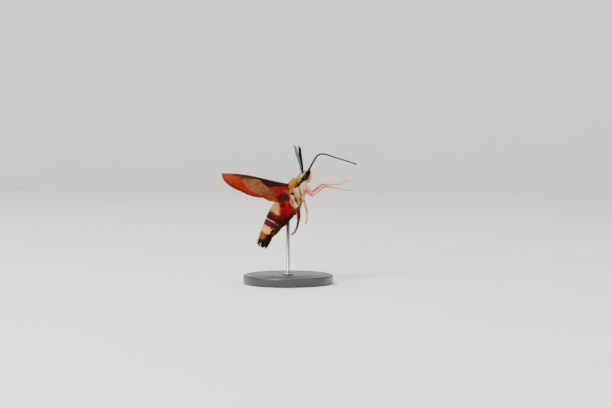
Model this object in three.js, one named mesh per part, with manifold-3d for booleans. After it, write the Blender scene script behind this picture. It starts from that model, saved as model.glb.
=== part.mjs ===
// A life-size hummingbird clearwing hawk moth, hovering, held on a small display stand.
// Millimetres, +Z up, origin at the middle of the stand's underside.
// The moth faces +X with its right side to -Y.
import * as THREE from "three";
import { mergeVertices } from "three/addons/utils/BufferGeometryUtils.js";
import Module from "manifold-3d";

const wasm = await Module();
wasm.setup();

// Driving dimensions
const GAP = 0.3; // between pieces that touch
const PITCH = THREE.MathUtils.degToRad(58); // of the body, head up
const THORAX_AT = new THREE.Vector3(1.5, 0, 30); // middle of the thorax over the stand

const STAND = { radius: 15, height: 3, bevel: 0.5, rodRadius: 0.6, rodFoot: 1.6, rodFootHeight: 1.2 };

// The trunk's stations: place along the body, height of its middle, half height and half width.
const TRUNK = [
  [5.2, -0.3, 2.45, 2.4],
  [4.2, -0.4, 3.1, 3.1],
  [2.6, -0.3, 3.7, 3.7],
  [0.4, -0.2, 4.15, 4.1],
  [-2.0, -0.25, 4.35, 4.25],
  [-4.2, -0.3, 4.05, 4.0],
  [-6.2, -0.25, 4.15, 4.2],
  [-8.2, -0.1, 3.95, 4.2],
  [-10.4, 0.05, 3.6, 3.9],
  [-12.6, 0.1, 3.2, 3.45],
  [-14.8, 0.2, 2.8, 2.95],
  [-16.6, 0.3, 2.35, 2.5],
];
const NECK_X = 5.0; // thorax front
const WAIST_X = -4.2; // thorax back, abdomen front
const TAIL_X = -16.3; // abdomen back, root of the tail tuft
const SEGMENTS = 6; // rings of the abdomen that show
const CREASE = { depth: 0.2, width: 0.22 };
const COLLAR = { x: 4.25, height: 0.3, width: 0.5 };

const HEAD = { x: 7.05, z: -0.3, long: 2.3, wide: 1.95, high: 1.98, back: 5.3 };
const SNOUT = { narrow: 0.35, flat: 0.2, drop: 0.25 }; // how the head changes towards the face
const CROWN = { behind: 0.45, height: 0.3, width: 0.5 }; // low tuft over the antennae, in head lengths
const EYE = { x: 6.9, y: 1.35, z: -0.65, long: 1.25, wide: 0.95, high: 1.2 };
const PALP = {
  root: [5.75, 0.72, -2.6],
  bend: [7.7, 0.78, -2.5],
  tip: [9.35, 0.62, -1.05],
  wide: 1.1,
  thick: 0.9,
};
// Places of the antenna and the tongue are level with the floor: forwards, outwards and up from the thorax.
const ANTENNA = {
  root: [3.35, 0.75, 5.9],
  bends: [[3.0, 1.9, 9.2], [2.1, 3.7, 12.9], [1.5, 5.1, 15.6]],
  tip: [1.05, 5.35, 16.1],
  shaft: 0.34,
  club: 0.48,
  scape: 0.38,
  point: 0.08,
};
const PROBOSCIS = {
  path: [
    [5.45, 0, 7.6],
    [7.0, 0, 10.5],
    [8.5, 0, 12.65],
    [10.3, 0, 13.15],
    [14.4, 0, 11.95],
    [18, 0, 10.85],
    [21.8, 0, 9.6],
  ],
  root: 0.34,
  tip: 0.25,
  blunt: { from: 0.97, share: 0.5 }, // the last of its length, drawn in
  steps: 9, // of each length
};
const TEGULA = {
  front: [4.3, 2.6, 1.8],
  middle: [3.1, 3.75, 1.7],
  back: [1.5, 4.3, 1.2],
  wide: 0.95,
  thick: 0.45,
};
const TUFT = {
  core: 1.7,
  coreEnd: 0.5, // of the abdomen's radius
  thick: 0.55,
  sag: 0.12, // for each mm of length
  tiers: [
    { locks: 15, root: 0.5, length: 3.0, spread: 0.8, width: 1.2 },
    { locks: 7, root: 0.9, length: 3.7, spread: 0.36, width: 1.1 },
  ],
};

const WING = {
  thick: 0.5,
  ridge: 0.17,
  ridgeHalfWidth: 0.24,
  costa: 0.14,
  rim: { from: 0.85, thinner: 0.35 },
  crossVein: 0.8, // of a ridge's height
  tipRound: { depth: 0.05, power: 6 },
  tornusRound: { depth: 0.09, power: 10 },
  sunk: 2.4, // of the root inside the thorax, cut away later
  frontBow: 1.25, // of the front edge, fullest beyond half way
  backBow: 0.5, // of the inner edge
  outerBow: [1.7, 0.7], // of the outer edge, along the span and along the chord
  camber: 0.7,
  reflex: 0.8, // of the outer part back towards the underside
};

// Small maths helpers
const lerp = THREE.MathUtils.lerp;
const clamp = THREE.MathUtils.clamp;
const v3 = (x, y, z) => new THREE.Vector3(x, y, z);
const hump = (d, width) => Math.exp(-((d / width) ** 2));

// A smooth value between rows of [place, value, value...], in falling or rising order of place.
function between(rows, place) {
  const rising = rows[0][0] < rows[rows.length - 1][0];
  const last = rows.length - 1;
  let i = rows.findIndex((row) => (rising ? row[0] >= place : row[0] <= place));
  if (i === -1) i = last;
  i = clamp(i, 1, last);
  const share = clamp((place - rows[i - 1][0]) / (rows[i][0] - rows[i - 1][0]), 0, 1);
  return rows[i].slice(1).map((_, k) => {
    const slope = (j) => {
      const a = rows[Math.max(j - 1, 0)];
      const b = rows[Math.min(j + 1, last)];
      return (b[k + 1] - a[k + 1]) / (b[0] - a[0]);
    };
    const step = rows[i][0] - rows[i - 1][0];
    const s2 = share * share;
    const s3 = s2 * share;
    return (
      (2 * s3 - 3 * s2 + 1) * rows[i - 1][k + 1] +
      (s3 - 2 * s2 + share) * step * slope(i - 1) +
      (3 * s2 - 2 * s3) * rows[i][k + 1] +
      (s3 - s2) * step * slope(i)
    );
  });
}

// Solids: a closed three.js geometry as a manifold, and back again as one closed body
function solidOf(geometry) {
  const bare = geometry.clone();
  for (const name of ["normal", "uv", "uv1", "color"]) bare.deleteAttribute(name);
  const merged = mergeVertices(bare, 1e-4);
  const corners = merged.index.array;
  const triangles = [];
  for (let i = 0; i < corners.length; i += 3) {
    const [a, b, c] = [corners[i], corners[i + 1], corners[i + 2]];
    if (a !== b && b !== c && a !== c) triangles.push(a, b, c);
  }
  const build = (triVerts) =>
    new wasm.Manifold(
      new wasm.Mesh({ numProp: 3, vertProperties: merged.attributes.position.array, triVerts }),
    );
  const made = build(new Uint32Array(triangles));
  return made.volume() < 0 ? build(new Uint32Array(triangles.reverse())) : made;
}

function largest(solid) {
  const bodies = solid.decompose();
  return bodies.reduce((a, b) => (b.volume() > a.volume() ? b : a));
}

function geometryOf(solid) {
  const mesh = largest(solid).getMesh();
  const points = new Float32Array(mesh.numVert * 3);
  for (let i = 0; i < mesh.numVert; i++)
    for (let k = 0; k < 3; k++) points[3 * i + k] = mesh.vertProperties[i * mesh.numProp + k];
  const geometry = new THREE.BufferGeometry();
  geometry.setAttribute("position", new THREE.BufferAttribute(points, 3));
  geometry.setIndex(new THREE.BufferAttribute(new Uint32Array(mesh.triVerts), 1));
  return geometry;
}

const fuse = (solids) => solids.reduce((a, b) => a.add(b));

// A unit cylinder's wall and caps moved to where place(share along, across, up) says.
function sweep(sides, steps, place) {
  const geometry = new THREE.CylinderGeometry(1, 1, 1, sides, steps);
  const points = geometry.attributes.position;
  for (let i = 0; i < points.count; i++) {
    const p = place(points.getY(i) + 0.5, points.getX(i), points.getZ(i));
    points.setXYZ(i, p.x, p.y, p.z);
  }
  return solidOf(geometry);
}

// A round or flattened limb along a curve. radius(share) gives [half width, half thickness].
function limb(points, radius, sides, steps, wideTowards) {
  const curve = new THREE.CatmullRomCurve3(points, false, "centripetal");
  const frames = curve.computeFrenetFrames(steps, false);
  return sweep(sides, steps, (share, across, up) => {
    const i = Math.round(share * steps);
    const along = frames.tangents[i];
    const thin = wideTowards
      ? v3().crossVectors(along, wideTowards).normalize()
      : frames.normals[i];
    const wide = v3().crossVectors(thin, along).normalize();
    const [w, t] = radius(share);
    return curve
      .getPointAt(share)
      .addScaledVector(wide, across * w)
      .addScaledVector(thin, up * t);
  });
}

// Directions level with the floor, as forwards, left and up, turned into the pitched body's own frame
function toBody(forwards, left, up) {
  const [c, s] = [Math.cos(PITCH), Math.sin(PITCH)];
  return v3(c * forwards + s * up, left, -s * forwards + c * up);
}

// The trunk's surface, with the collar and the abdomen's creases. grow moves it outwards.
function trunkPoint(x, across, up, grow = 0) {
  const [middle, high, wide] = between(TRUNK, x);
  const segment = (WAIST_X - TAIL_X) / SEGMENTS;
  const behindWaist = WAIST_X - x;
  let relief = 0;
  if (behindWaist > 0.5 * segment) {
    const offCrease = behindWaist - Math.round(behindWaist / segment) * segment;
    relief -= CREASE.depth * hump(offCrease, CREASE.width);
  }
  if (up > 0) relief += COLLAR.height * up * hump(x - COLLAR.x, COLLAR.width);
  const swell = grow + relief;
  return v3(x, across * (wide + swell), middle + up * (high + swell));
}

function trunk(from, to, sides, steps, grow = 0) {
  return sweep(sides, steps, (share, across, up) => trunkPoint(lerp(from, to, share), across, up, grow));
}

const clearance = trunk(NECK_X, WAIST_X, 28, 11, GAP); // the thorax grown by the gap
const abdomenClearance = trunk(WAIST_X + GAP, TAIL_X, 28, 30, GAP);

// The skull: an oval that narrows to a short snout, with a low crown. grow moves it outwards.
function skullSolid(grow = 0) {
  const skull = new THREE.SphereGeometry(1, 24, 16);
  const points = skull.attributes.position;
  for (let i = 0; i < points.count; i++) {
    const [along, across, up] = [points.getX(i), points.getY(i), points.getZ(i)];
    const snout = Math.max(along, 0) ** 3;
    const crown = CROWN.height * hump(along + CROWN.behind, CROWN.width) * Math.max(up, 0);
    points.setXYZ(
      i,
      HEAD.x + along * (HEAD.long + grow),
      across * (HEAD.wide * (1 - SNOUT.narrow * snout) + grow),
      HEAD.z + up * (HEAD.high * (1 - SNOUT.flat * snout) + grow) - SNOUT.drop * snout + crown,
    );
  }
  return solidOf(skull);
}

const grownHead = skullSolid(GAP);

// Head, cut off at the neck, with a socket for each eye
function headSolid() {
  const behind = new THREE.BoxGeometry(6, 10, 10).translate(HEAD.back - 3, 0, 0);
  let head = skullSolid().subtract(solidOf(behind));
  for (const side of [1, -1]) head = head.subtract(eyeSolid(side, GAP));
  return head;
}

function eyeSolid(side, grow = 0) {
  const eye = new THREE.SphereGeometry(1, 18, 12);
  eye.scale(EYE.long + grow, EYE.wide + grow, EYE.high + grow);
  eye.translate(EYE.x, side * EYE.y, EYE.z);
  return solidOf(eye);
}

// Labial palp: a short upturned brush beneath the face
function palpSolid(side) {
  const [root, bend, tip] = [PALP.root, PALP.bend, PALP.tip].map(([x, y, z]) => v3(x, side * y, z));
  const thickness = [
    [0, 0.55],
    [0.35, 1],
    [0.7, 0.85],
    [1, 0.3],
  ];
  const palp = limb(
    [root, bend, tip],
    (share) => {
      const [k] = between(thickness, share);
      return [(PALP.wide / 2) * k, (PALP.thick / 2) * k];
    },
    10,
    8,
    v3(-0.4, 0, 1),
  );
  return palp.subtract(grownHead).subtract(clearance);
}

// Antenna: thin at the scape, thickening to a club, with a small hooked point
const ANTENNA_THICKNESS = [
  [0, ANTENNA.scape],
  [0.06, ANTENNA.scape],
  [0.1, ANTENNA.shaft],
  [0.4, ANTENNA.shaft + 0.03],
  [0.75, ANTENNA.club],
  [0.9, ANTENNA.club * 0.9],
  [0.96, ANTENNA.shaft * 0.6],
  [1, ANTENNA.point],
];

function antennaSolid(side) {
  const points = [ANTENNA.root, ...ANTENNA.bends, ANTENNA.tip].map(([forwards, out, up]) =>
    toBody(forwards, side * out, up),
  );
  const antenna = limb(
    points,
    (share) => {
      const [r] = between(ANTENNA_THICKNESS, share);
      return [r, r];
    },
    8,
    18,
  );
  return antenna.subtract(grownHead);
}

// Proboscis: out of the face in line with the body, over a knee and forwards, in three lengths
const TONGUE_PATH = new THREE.CatmullRomCurve3(
  PROBOSCIS.path.map((place) => toBody(...place)),
  false,
  "centripetal",
);
const TONGUE_CUTS = [0, 0.34, 0.67, 1];

function proboscisSolid(index) {
  const length = TONGUE_PATH.getLength();
  const from = TONGUE_CUTS[index] + (index > 0 ? GAP / 2 / length : 0);
  const to = TONGUE_CUTS[index + 1] - (index < 2 ? GAP / 2 / length : 0);
  const { steps, blunt } = PROBOSCIS;
  const points = Array.from({ length: steps + 1 }, (_, i) =>
    TONGUE_PATH.getPointAt(lerp(from, to, i / steps)),
  );
  const tongue = limb(
    points,
    (share) => {
      const along = lerp(from, to, share);
      const end = along > blunt.from ? blunt.share : 1;
      const r = lerp(PROBOSCIS.root, PROBOSCIS.tip, Math.min(along * 2, 1)) * end;
      return [r, r];
    },
    8,
    steps,
  );
  return index === 0 ? tongue.subtract(grownHead) : tongue;
}

// Wings. Each lies in its own plane: span runs from the root to the tip, chord from the front edge back.
const FOREWING = {
  root: v3(1.0, 2.6, 3.2),
  rootChord: [-1.0, 1.0],
  tip: [23.2, 1.0],
  tornus: [12.6, 8.6],
  lift: 0, // towards the underside, clear of the wing in front
  tuck: 0, // of the back edge towards the body
  // Share of the outer edge from tip to tornus at which each vein ends, and how far from the root it starts.
  veins: [
    [0.05, 0],
    [0.12, 0.62],
    [0.2, 0],
    [0.31, 0.5],
    [0.43, 0.5],
    [0.54, 0.5],
    [0.66, 0],
    [0.78, 0.3],
    [0.9, 0],
  ],
  cell: { from: 0.2, to: 0.66, at: 0.5 },
  rows: 14,
};
const HINDWING = {
  root: v3(-1.8, 3.7, 2.1),
  rootChord: [-0.75, 0.95],
  tip: [12.4, 5.2],
  tornus: [2.0, 4.2],
  lift: 2.5,
  tuck: 1.2,
  veins: [
    [0.14, 0],
    [0.32, 0.5],
    [0.46, 0.5],
    [0.62, 0],
    [0.82, 0],
  ],
  cell: { from: 0.14, to: 0.62, at: 0.5 },
  rows: 10,
};
const SPREAD = THREE.MathUtils.degToRad(20); // of each wing from the moth's middle plane
const RISE = THREE.MathUtils.degToRad(10.5); // of the front edge from level
const FLARE = THREE.MathUtils.degToRad(42); // of the chord from upright, its back edge outwards

// The left wing's own directions in the body's frame: along the span, the chord and out of its underside
function wingFrame() {
  const [cs, ss] = [Math.cos(SPREAD), Math.sin(SPREAD)];
  const [cr, sr] = [Math.cos(RISE), Math.sin(RISE)];
  const span = toBody(-cs * cr, ss * cr, sr);
  const inwards = toBody(-ss, -cs, 0);
  const upright = v3().crossVectors(span, inwards).normalize();
  const chord = v3()
    .addScaledVector(upright, -Math.cos(FLARE))
    .addScaledVector(inwards, -Math.sin(FLARE))
    .normalize();
  return { span, chord, under: v3().crossVectors(chord, span).normalize() };
}

function smoothstep(from, to, value) {
  const t = clamp((value - from) / (to - from), 0, 1);
  return t * t * (3 - 2 * t);
}

// A point of the wing's middle sheet. edge is the share round the outer edge, out the share from the root.
function wingPoint(shape, frame, edge, out) {
  const bow = Math.sin(Math.PI * edge);
  const { tipRound, tornusRound } = WING;
  const rounded =
    1 - tornusRound.depth * edge ** tornusRound.power - tipRound.depth * (1 - edge) ** tipRound.power;
  const outer = [
    rounded * (lerp(shape.tip[0], shape.tornus[0], edge) + WING.outerBow[0] * bow * (1 - 0.4 * edge)),
    rounded * (lerp(shape.tip[1], shape.tornus[1], edge) + WING.outerBow[1] * bow),
  ];
  const inner = lerp(shape.rootChord[0], shape.rootChord[1], edge);
  const frontBow = -WING.frontBow * Math.sin(Math.PI * out ** 1.4) * (1 - edge) ** 2;
  const backBow = -WING.backBow * Math.sin(Math.PI * out) * edge ** 2;
  const along = outer[0] * out;
  const back = lerp(inner, outer[1], out) + frontBow + backBow;
  const camber = -WING.camber * bow * Math.sqrt(out) + WING.reflex * out * out;
  const lift = shape.lift * (1 - 0.6 * edge ** 2) * smoothstep(0, 0.3, out) - shape.tuck * out * edge ** 2;
  return shape.root
    .clone()
    .addScaledVector(frame.span, along - WING.sunk * (1 - out) ** 6)
    .addScaledVector(frame.chord, back)
    .addScaledVector(frame.under, camber + lift);
}

// Columns of the wing's grid: each vein's crest between its two feet
function wingColumns(shape) {
  const columns = [{ edge: 0 }];
  for (const [edge, start] of shape.veins)
    for (const foot of [-1, 0, 1]) columns.push({ edge, foot, start });
  columns.push({ edge: 1 });
  return columns;
}

function wingSolid(shape, side) {
  const frame = wingFrame();
  const columns = wingColumns(shape);
  const spacing = Math.min(...shape.veins.map(([edge], i) => edge - (i ? shape.veins[i - 1][0] : 0)));
  const outerLength = new THREE.Vector2(...shape.tip).distanceTo(new THREE.Vector2(...shape.tornus));
  const sheet = new THREE.PlaneGeometry(1, 1, columns.length - 1, shape.rows);
  const points = sheet.attributes.position;
  const faces = [[], []];
  for (let i = 0; i < points.count; i++) {
    const column = columns[i % columns.length];
    const out = Math.floor(i / columns.length) / shape.rows;
    const footShare = Math.min(WING.ridgeHalfWidth / lerp(2, outerLength, out), 0.4 * spacing);
    const edge = clamp(column.edge + (column.foot ?? 0) * footShare, 0, 1);
    let half = (WING.thick / 2) * (1 - WING.rim.thinner * smoothstep(WING.rim.from, 1, out));
    if (column.foot === 0)
      half += WING.ridge * smoothstep(column.start - 0.06, column.start + 0.02, out) * (1 - 0.5 * out);
    if (column.edge === 0) half += WING.costa * (1 - 0.7 * out);
    const inCell = edge >= shape.cell.from && edge <= shape.cell.to;
    if (inCell && Math.abs(out - shape.cell.at) < 0.6 / shape.rows) half += WING.ridge * WING.crossVein;
    const middle = wingPoint(shape, frame, edge, out);
    for (const [k, sign] of [[0, 1], [1, -1]])
      faces[k].push(middle.clone().addScaledVector(frame.under, sign * half));
  }
  return slab(faces, sheet.index.array, columns.length, shape.rows + 1, side);
}

// Closes two alike sheets into one thin solid. side -1 mirrors it to the moth's right.
function slab([front, back], corners, wide, tall, side) {
  const n = front.length;
  const triangles = [];
  for (let i = 0; i < corners.length; i += 3) {
    const [a, b, c] = corners.slice(i, i + 3);
    triangles.push(a, b, c, n + a, n + c, n + b);
  }
  const rim = [];
  for (let i = 0; i < wide; i++) rim.push(i);
  for (let j = 1; j < tall; j++) rim.push(j * wide + wide - 1);
  for (let i = wide - 2; i >= 0; i--) rim.push((tall - 1) * wide + i);
  for (let j = tall - 2; j > 0; j--) rim.push(j * wide);
  rim.forEach((a, i) => {
    const b = rim[(i + 1) % rim.length];
    triangles.push(a, b, n + b, a, n + b, n + a);
  });
  const geometry = new THREE.BufferGeometry().setFromPoints(
    [...front, ...back].map((p) => v3(p.x, side * p.y, p.z)),
  );
  geometry.setIndex(triangles);
  return solidOf(geometry);
}

// Shoulder flap that covers the root of the forewing
function tegulaSolid(side) {
  const flap = limb(
    [TEGULA.front, TEGULA.middle, TEGULA.back].map(([x, y, z]) => v3(x, side * y, z)),
    (share) => {
      const round = Math.sqrt(Math.max(Math.sin(Math.PI * clamp(share, 0.03, 0.97)), 0.05));
      return [TEGULA.wide * round, TEGULA.thick * round];
    },
    10,
    8,
    v3(0, side * -0.5, 1),
  );
  return flap.subtract(clearance);
}

// Tail tuft: a short core with two tiers of long flat scales fanned out of it
function tuftSolid() {
  const [middle, high, wide] = between(TRUNK, TAIL_X);
  const from = TAIL_X - GAP;
  const core = sweep(20, 3, (share, across, up) => {
    const r = lerp(0.98, TUFT.coreEnd, share ** 1.5);
    return v3(from - share * TUFT.core, across * wide * r, middle + up * high * r);
  });
  const pieces = [core];
  for (const tier of TUFT.tiers)
    for (let i = 0; i < tier.locks; i++) {
      const angle = (2 * Math.PI * (i + 0.5)) / tier.locks;
      const [c, s] = [Math.cos(angle), Math.sin(angle)];
      const length = tier.length * (0.92 + 0.08 * Math.sin(i * 2.4));
      const ringAt = (back, spread) =>
        v3(from - back, c * wide * spread, middle + s * high * spread - TUFT.sag * back);
      const points = [
        ringAt(tier.root, tier.spread * 0.9),
        ringAt(lerp(tier.root, length, 0.5), tier.spread),
        ringAt(length, tier.spread * (0.8 + 0.15 * Math.abs(c))),
      ];
      const size = (share) => {
        const taper = Math.min(1, 1.7 * (1 - share) + 0.14);
        return [(tier.width / 2) * taper, (TUFT.thick / 2) * (0.4 + 0.6 * taper)];
      };
      pieces.push(limb(points, size, 6, 3, v3(0, -s, c)));
    }
  return fuse(pieces);
}

// Legs. Joints are measured from the middle of the thorax: forwards, outwards and up, level with the floor.
// Each leg gives its root, knee, ankle and the bends of its foot.
const LEGS = {
  front_right: {
    side: -1,
    joints: [[3.9, 1.3, 2.2], [6.25, 2.5, -0.6], [10.3, 2.3, 2.5]],
    foot: [[13.1, 2.1, 2.1], [16.2, 2.0, 1.5], [19.5, 1.9, 1.0]],
    spurs: 0,
  },
  front_left: {
    side: 1,
    joints: [[3.9, 1.3, 2.7], [6.7, 2.5, 0.05], [10.45, 2.3, 2.95]],
    foot: [[12.9, 2.1, 2.75], [16.4, 2.0, 3.0], [19.0, 1.9, 4.3]],
    spurs: 0,
  },
  mid_right: {
    side: -1,
    joints: [[2.2, 2.2, -0.2], [3.5, 3.2, -2.3], [4.25, 3.4, -5.5]],
    foot: [[4.4, 3.4, -7.0], [4.35, 3.3, -8.6], [3.8, 3.1, -10.1]],
    spurs: 1,
  },
  mid_left: {
    side: 1,
    joints: [[1.8, 2.4, -0.9], [2.3, 4.1, -3.6], [1.2, 4.95, -6.6]],
    foot: [[0.4, 5.05, -8.2], [-0.7, 4.95, -9.8], [-2.0, 4.7, -11.2]],
    spurs: 1,
  },
  hind_right: {
    side: -1,
    joints: [[-0.4, 2.9, -2.4], [1.55, 4.35, -5.1], [1.4, 4.3, -8.7]],
    foot: [[0.95, 4.2, -10.9], [0.2, 4.0, -12.6], [-1.0, 3.7, -13.4]],
    spurs: 2,
  },
  hind_left: {
    side: 1,
    joints: [[-1.4, 2.9, -2.6], [-0.6, 5.0, -5.4], [-2.0, 5.1, -8.9]],
    foot: [[-2.9, 4.9, -10.7], [-3.9, 4.5, -12.4], [-5.0, 4.1, -13.7]],
    spurs: 2,
  },
};
const LEG = { femur: 0.52, knee: 0.38, ankle: 0.34, foot: 0.27, footRings: 5 };
const SPUR = { length: 1.1, root: 0.22, tip: 0.06, from: 0.35, apart: 1.25, lean: [0.75, 0.62] };
const CLAW = { length: 0.7, root: 0.2, tip: 0.06, spread: 0.45 };

// How far two limb pieces of one radius stop short of their joint so that they clear each other as they bend
function jointCut(before, joint, after, radius) {
  const turn = joint.clone().sub(before).angleTo(after.clone().sub(joint)) / 2;
  return (GAP / 2 + radius * Math.sin(turn)) / Math.cos(turn);
}

function shortened(from, to, cutFrom, cutTo) {
  const along = to.clone().sub(from).normalize();
  return [from.clone().addScaledVector(along, cutFrom), to.clone().addScaledVector(along, -cutTo)];
}

// A spur or claw: a short straight spike
function thorn(start, end, { root, tip }) {
  const taper = (share) => [lerp(root, tip, share), lerp(root, tip, share)];
  return limb([start, start.clone().lerp(end, 0.5), end], taper, 5, 2);
}

function legSolids(leg) {
  const at = ([forwards, out, up]) => toBody(forwards, leg.side * out, up);
  const [root, knee, ankle] = leg.joints.map(at);
  const foot = leg.foot.map(at);
  const kneeCut = jointCut(root, knee, ankle, LEG.knee);
  const ankleCut = jointCut(knee, ankle, foot[0], LEG.ankle);

  const [femurFrom, femurTo] = shortened(root, knee, 0, kneeCut);
  const femur = limb(
    [femurFrom, femurFrom.clone().lerp(femurTo, 0.5), femurTo],
    (share) => {
      const r = lerp(LEG.femur, LEG.knee, share ** 2);
      return [r, r * 0.9];
    },
    8,
    5,
  )
    .subtract(clearance)
    .subtract(abdomenClearance);

  const [tibiaFrom, tibiaTo] = shortened(knee, ankle, kneeCut, ankleCut);
  const shin = tibiaTo.clone().sub(tibiaFrom).normalize();
  const sideways = v3().crossVectors(shin, v3(0, 1, 0)).normalize();
  const tibiaPieces = [
    limb(
      [tibiaFrom, tibiaFrom.clone().lerp(tibiaTo, 0.5), tibiaTo],
      (share) => {
        const r = lerp(LEG.knee * 0.9, LEG.ankle, share) + 0.06 * Math.sin(Math.PI * share);
        return [r, r];
      },
      8,
      5,
    ),
  ];
  for (let pair = 0; pair < leg.spurs; pair++)
    for (const way of [1, -1]) {
      const start = tibiaTo.clone().addScaledVector(shin, -SPUR.from - SPUR.apart * pair);
      const end = start
        .clone()
        .addScaledVector(shin, SPUR.length * SPUR.lean[0])
        .addScaledVector(sideways, way * SPUR.length * SPUR.lean[1]);
      tibiaPieces.push(thorn(start, end, SPUR));
    }

  const [footFrom] = shortened(ankle, foot[0], ankleCut, 0);
  const rings = 2 * LEG.footRings;
  const tarsusPieces = [
    limb(
      [footFrom, ...foot],
      (share) => {
        const ring = (share * LEG.footRings) % 1;
        const r = LEG.foot * (ring < 0.25 ? 0.92 : 1.08) * (1 - 0.12 * share);
        return [r, r];
      },
      7,
      rings,
    ),
  ];
  const toe = foot[2].clone().sub(foot[1]).normalize();
  const across = v3().crossVectors(toe, v3(0, 0, 1)).normalize();
  for (const way of [1, -1]) {
    const start = foot[2].clone().addScaledVector(toe, -0.2);
    const end = start
      .clone()
      .addScaledVector(toe, CLAW.length)
      .addScaledVector(across, way * CLAW.length * CLAW.spread);
    tarsusPieces.push(thorn(start, end, CLAW));
  }
  return { femur, tibia: fuse(tibiaPieces), tarsus: fuse(tarsusPieces) };
}

// Display stand: a round base and one upright rod up to the underside of the abdomen
function standSolids() {
  const { radius, height, bevel, rodRadius, rodFoot, rodFootHeight } = STAND;
  const profile = [
    [0, 0],
    [radius, 0],
    [radius, height - bevel],
    [radius - bevel, height],
    [0, height],
  ].map(([r, z]) => new THREE.Vector2(r, z));
  const upright = (geometry) => geometry.rotateX(Math.PI / 2);
  const base = solidOf(upright(new THREE.LatheGeometry(profile, 48)));
  const reach = 60;
  const rodProfile = [
    [0, height + GAP],
    [rodFoot, height + GAP],
    [rodFoot, height + GAP + rodFootHeight * 0.5],
    [rodRadius, height + GAP + rodFootHeight],
    [rodRadius, reach],
    [0, reach],
  ].map(([r, z]) => new THREE.Vector2(r, z));
  const rod = solidOf(upright(new THREE.LatheGeometry(rodProfile, 16)));
  const body = geometryOf(fuse([clearance, abdomenClearance]));
  body.applyMatrix4(moth.matrix);
  const trimmed = rod.subtract(solidOf(body));
  const floorOf = (body) => body.boundingBox().min[2];
  const lowest = trimmed.decompose().reduce((a, b) => (floorOf(b) < floorOf(a) ? b : a));
  return { base, rod: lowest };
}

// Materials, one for each finish
const finish = (color, roughness, metalness = 0) =>
  new THREE.MeshStandardMaterial({ color, roughness, metalness });
const OLIVE_FUR = finish("#b09a4a", 0.95);
const MAROON_FUR = finish("#5a1216", 0.9);
const TUFT_SCALES = finish("#2a1512", 0.9);
const WING_MEMBRANE = finish("#b23a22", 0.55);
const EYE_GLOSS = finish("#120c0b", 0.2);
const PALE_FUR = finish("#ead9c6", 0.95);
const DARK_CUTICLE = finish("#15110f", 0.5);
const LEG_SCALES = finish("#e0b79a", 0.85);
const LEG_DARK = finish("#4a1a16", 0.8);
const STAND_BASE = finish("#3a3430", 0.6);
const STAND_ROD = finish("#b9bcc0", 0.3, 1);

// The scene: a pitched group for the moth, and the stand under it
const root = new THREE.Group();
const moth = new THREE.Group();
moth.rotation.y = -PITCH;
moth.position.copy(THORAX_AT);
moth.updateMatrix();
root.add(moth);

function add(group, name, solid, material) {
  const mesh = new THREE.Mesh(geometryOf(solid), material);
  mesh.name = name;
  group.add(mesh);
}

add(moth, "head", headSolid(), OLIVE_FUR);
add(moth, "thorax", trunk(NECK_X, WAIST_X + GAP, 28, 11), OLIVE_FUR);
add(moth, "abdomen", trunk(WAIST_X, TAIL_X, 28, 30), MAROON_FUR);
add(moth, "tail_tuft", tuftSolid(), TUFT_SCALES);
for (const [index, name] of ["proboscis_root", "proboscis_middle", "proboscis_tip"].entries())
  add(moth, name, proboscisSolid(index), DARK_CUTICLE);
for (const [name, side] of [["left", 1], ["right", -1]]) {
  add(moth, `eye_${name}`, eyeSolid(side), EYE_GLOSS);
  add(moth, `palp_${name}`, palpSolid(side), PALE_FUR);
  add(moth, `antenna_${name}`, antennaSolid(side), DARK_CUTICLE);
  add(moth, `tegula_${name}`, tegulaSolid(side), OLIVE_FUR);
  add(moth, `forewing_${name}`, wingSolid(FOREWING, side).subtract(clearance), WING_MEMBRANE);
  add(
    moth,
    `hindwing_${name}`,
    wingSolid(HINDWING, side).subtract(clearance).subtract(abdomenClearance),
    WING_MEMBRANE,
  );
}
for (const [name, leg] of Object.entries(LEGS)) {
  const { femur, tibia, tarsus } = legSolids(leg);
  add(moth, `leg_${name}_femur`, femur, PALE_FUR);
  add(moth, `leg_${name}_tibia`, tibia, name.startsWith("hind") ? LEG_DARK : LEG_SCALES);
  add(moth, `leg_${name}_tarsus`, tarsus, name.startsWith("hind") ? LEG_DARK : LEG_SCALES);
}
const stand = standSolids();
add(root, "stand_base", stand.base, STAND_BASE);
add(root, "stand_rod", stand.rod, STAND_ROD);

export default root;
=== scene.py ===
# A life-size museum model of a hummingbird clearwing moth on a plain display stand.
# Shapes are worked out in millimetres in the moth's own frame: x along the body to the head, y to its
# left, z out of its back. world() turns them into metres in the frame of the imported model.
import math

import bmesh
import bpy
import numpy as np
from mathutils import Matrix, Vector, kdtree, noise

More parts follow.
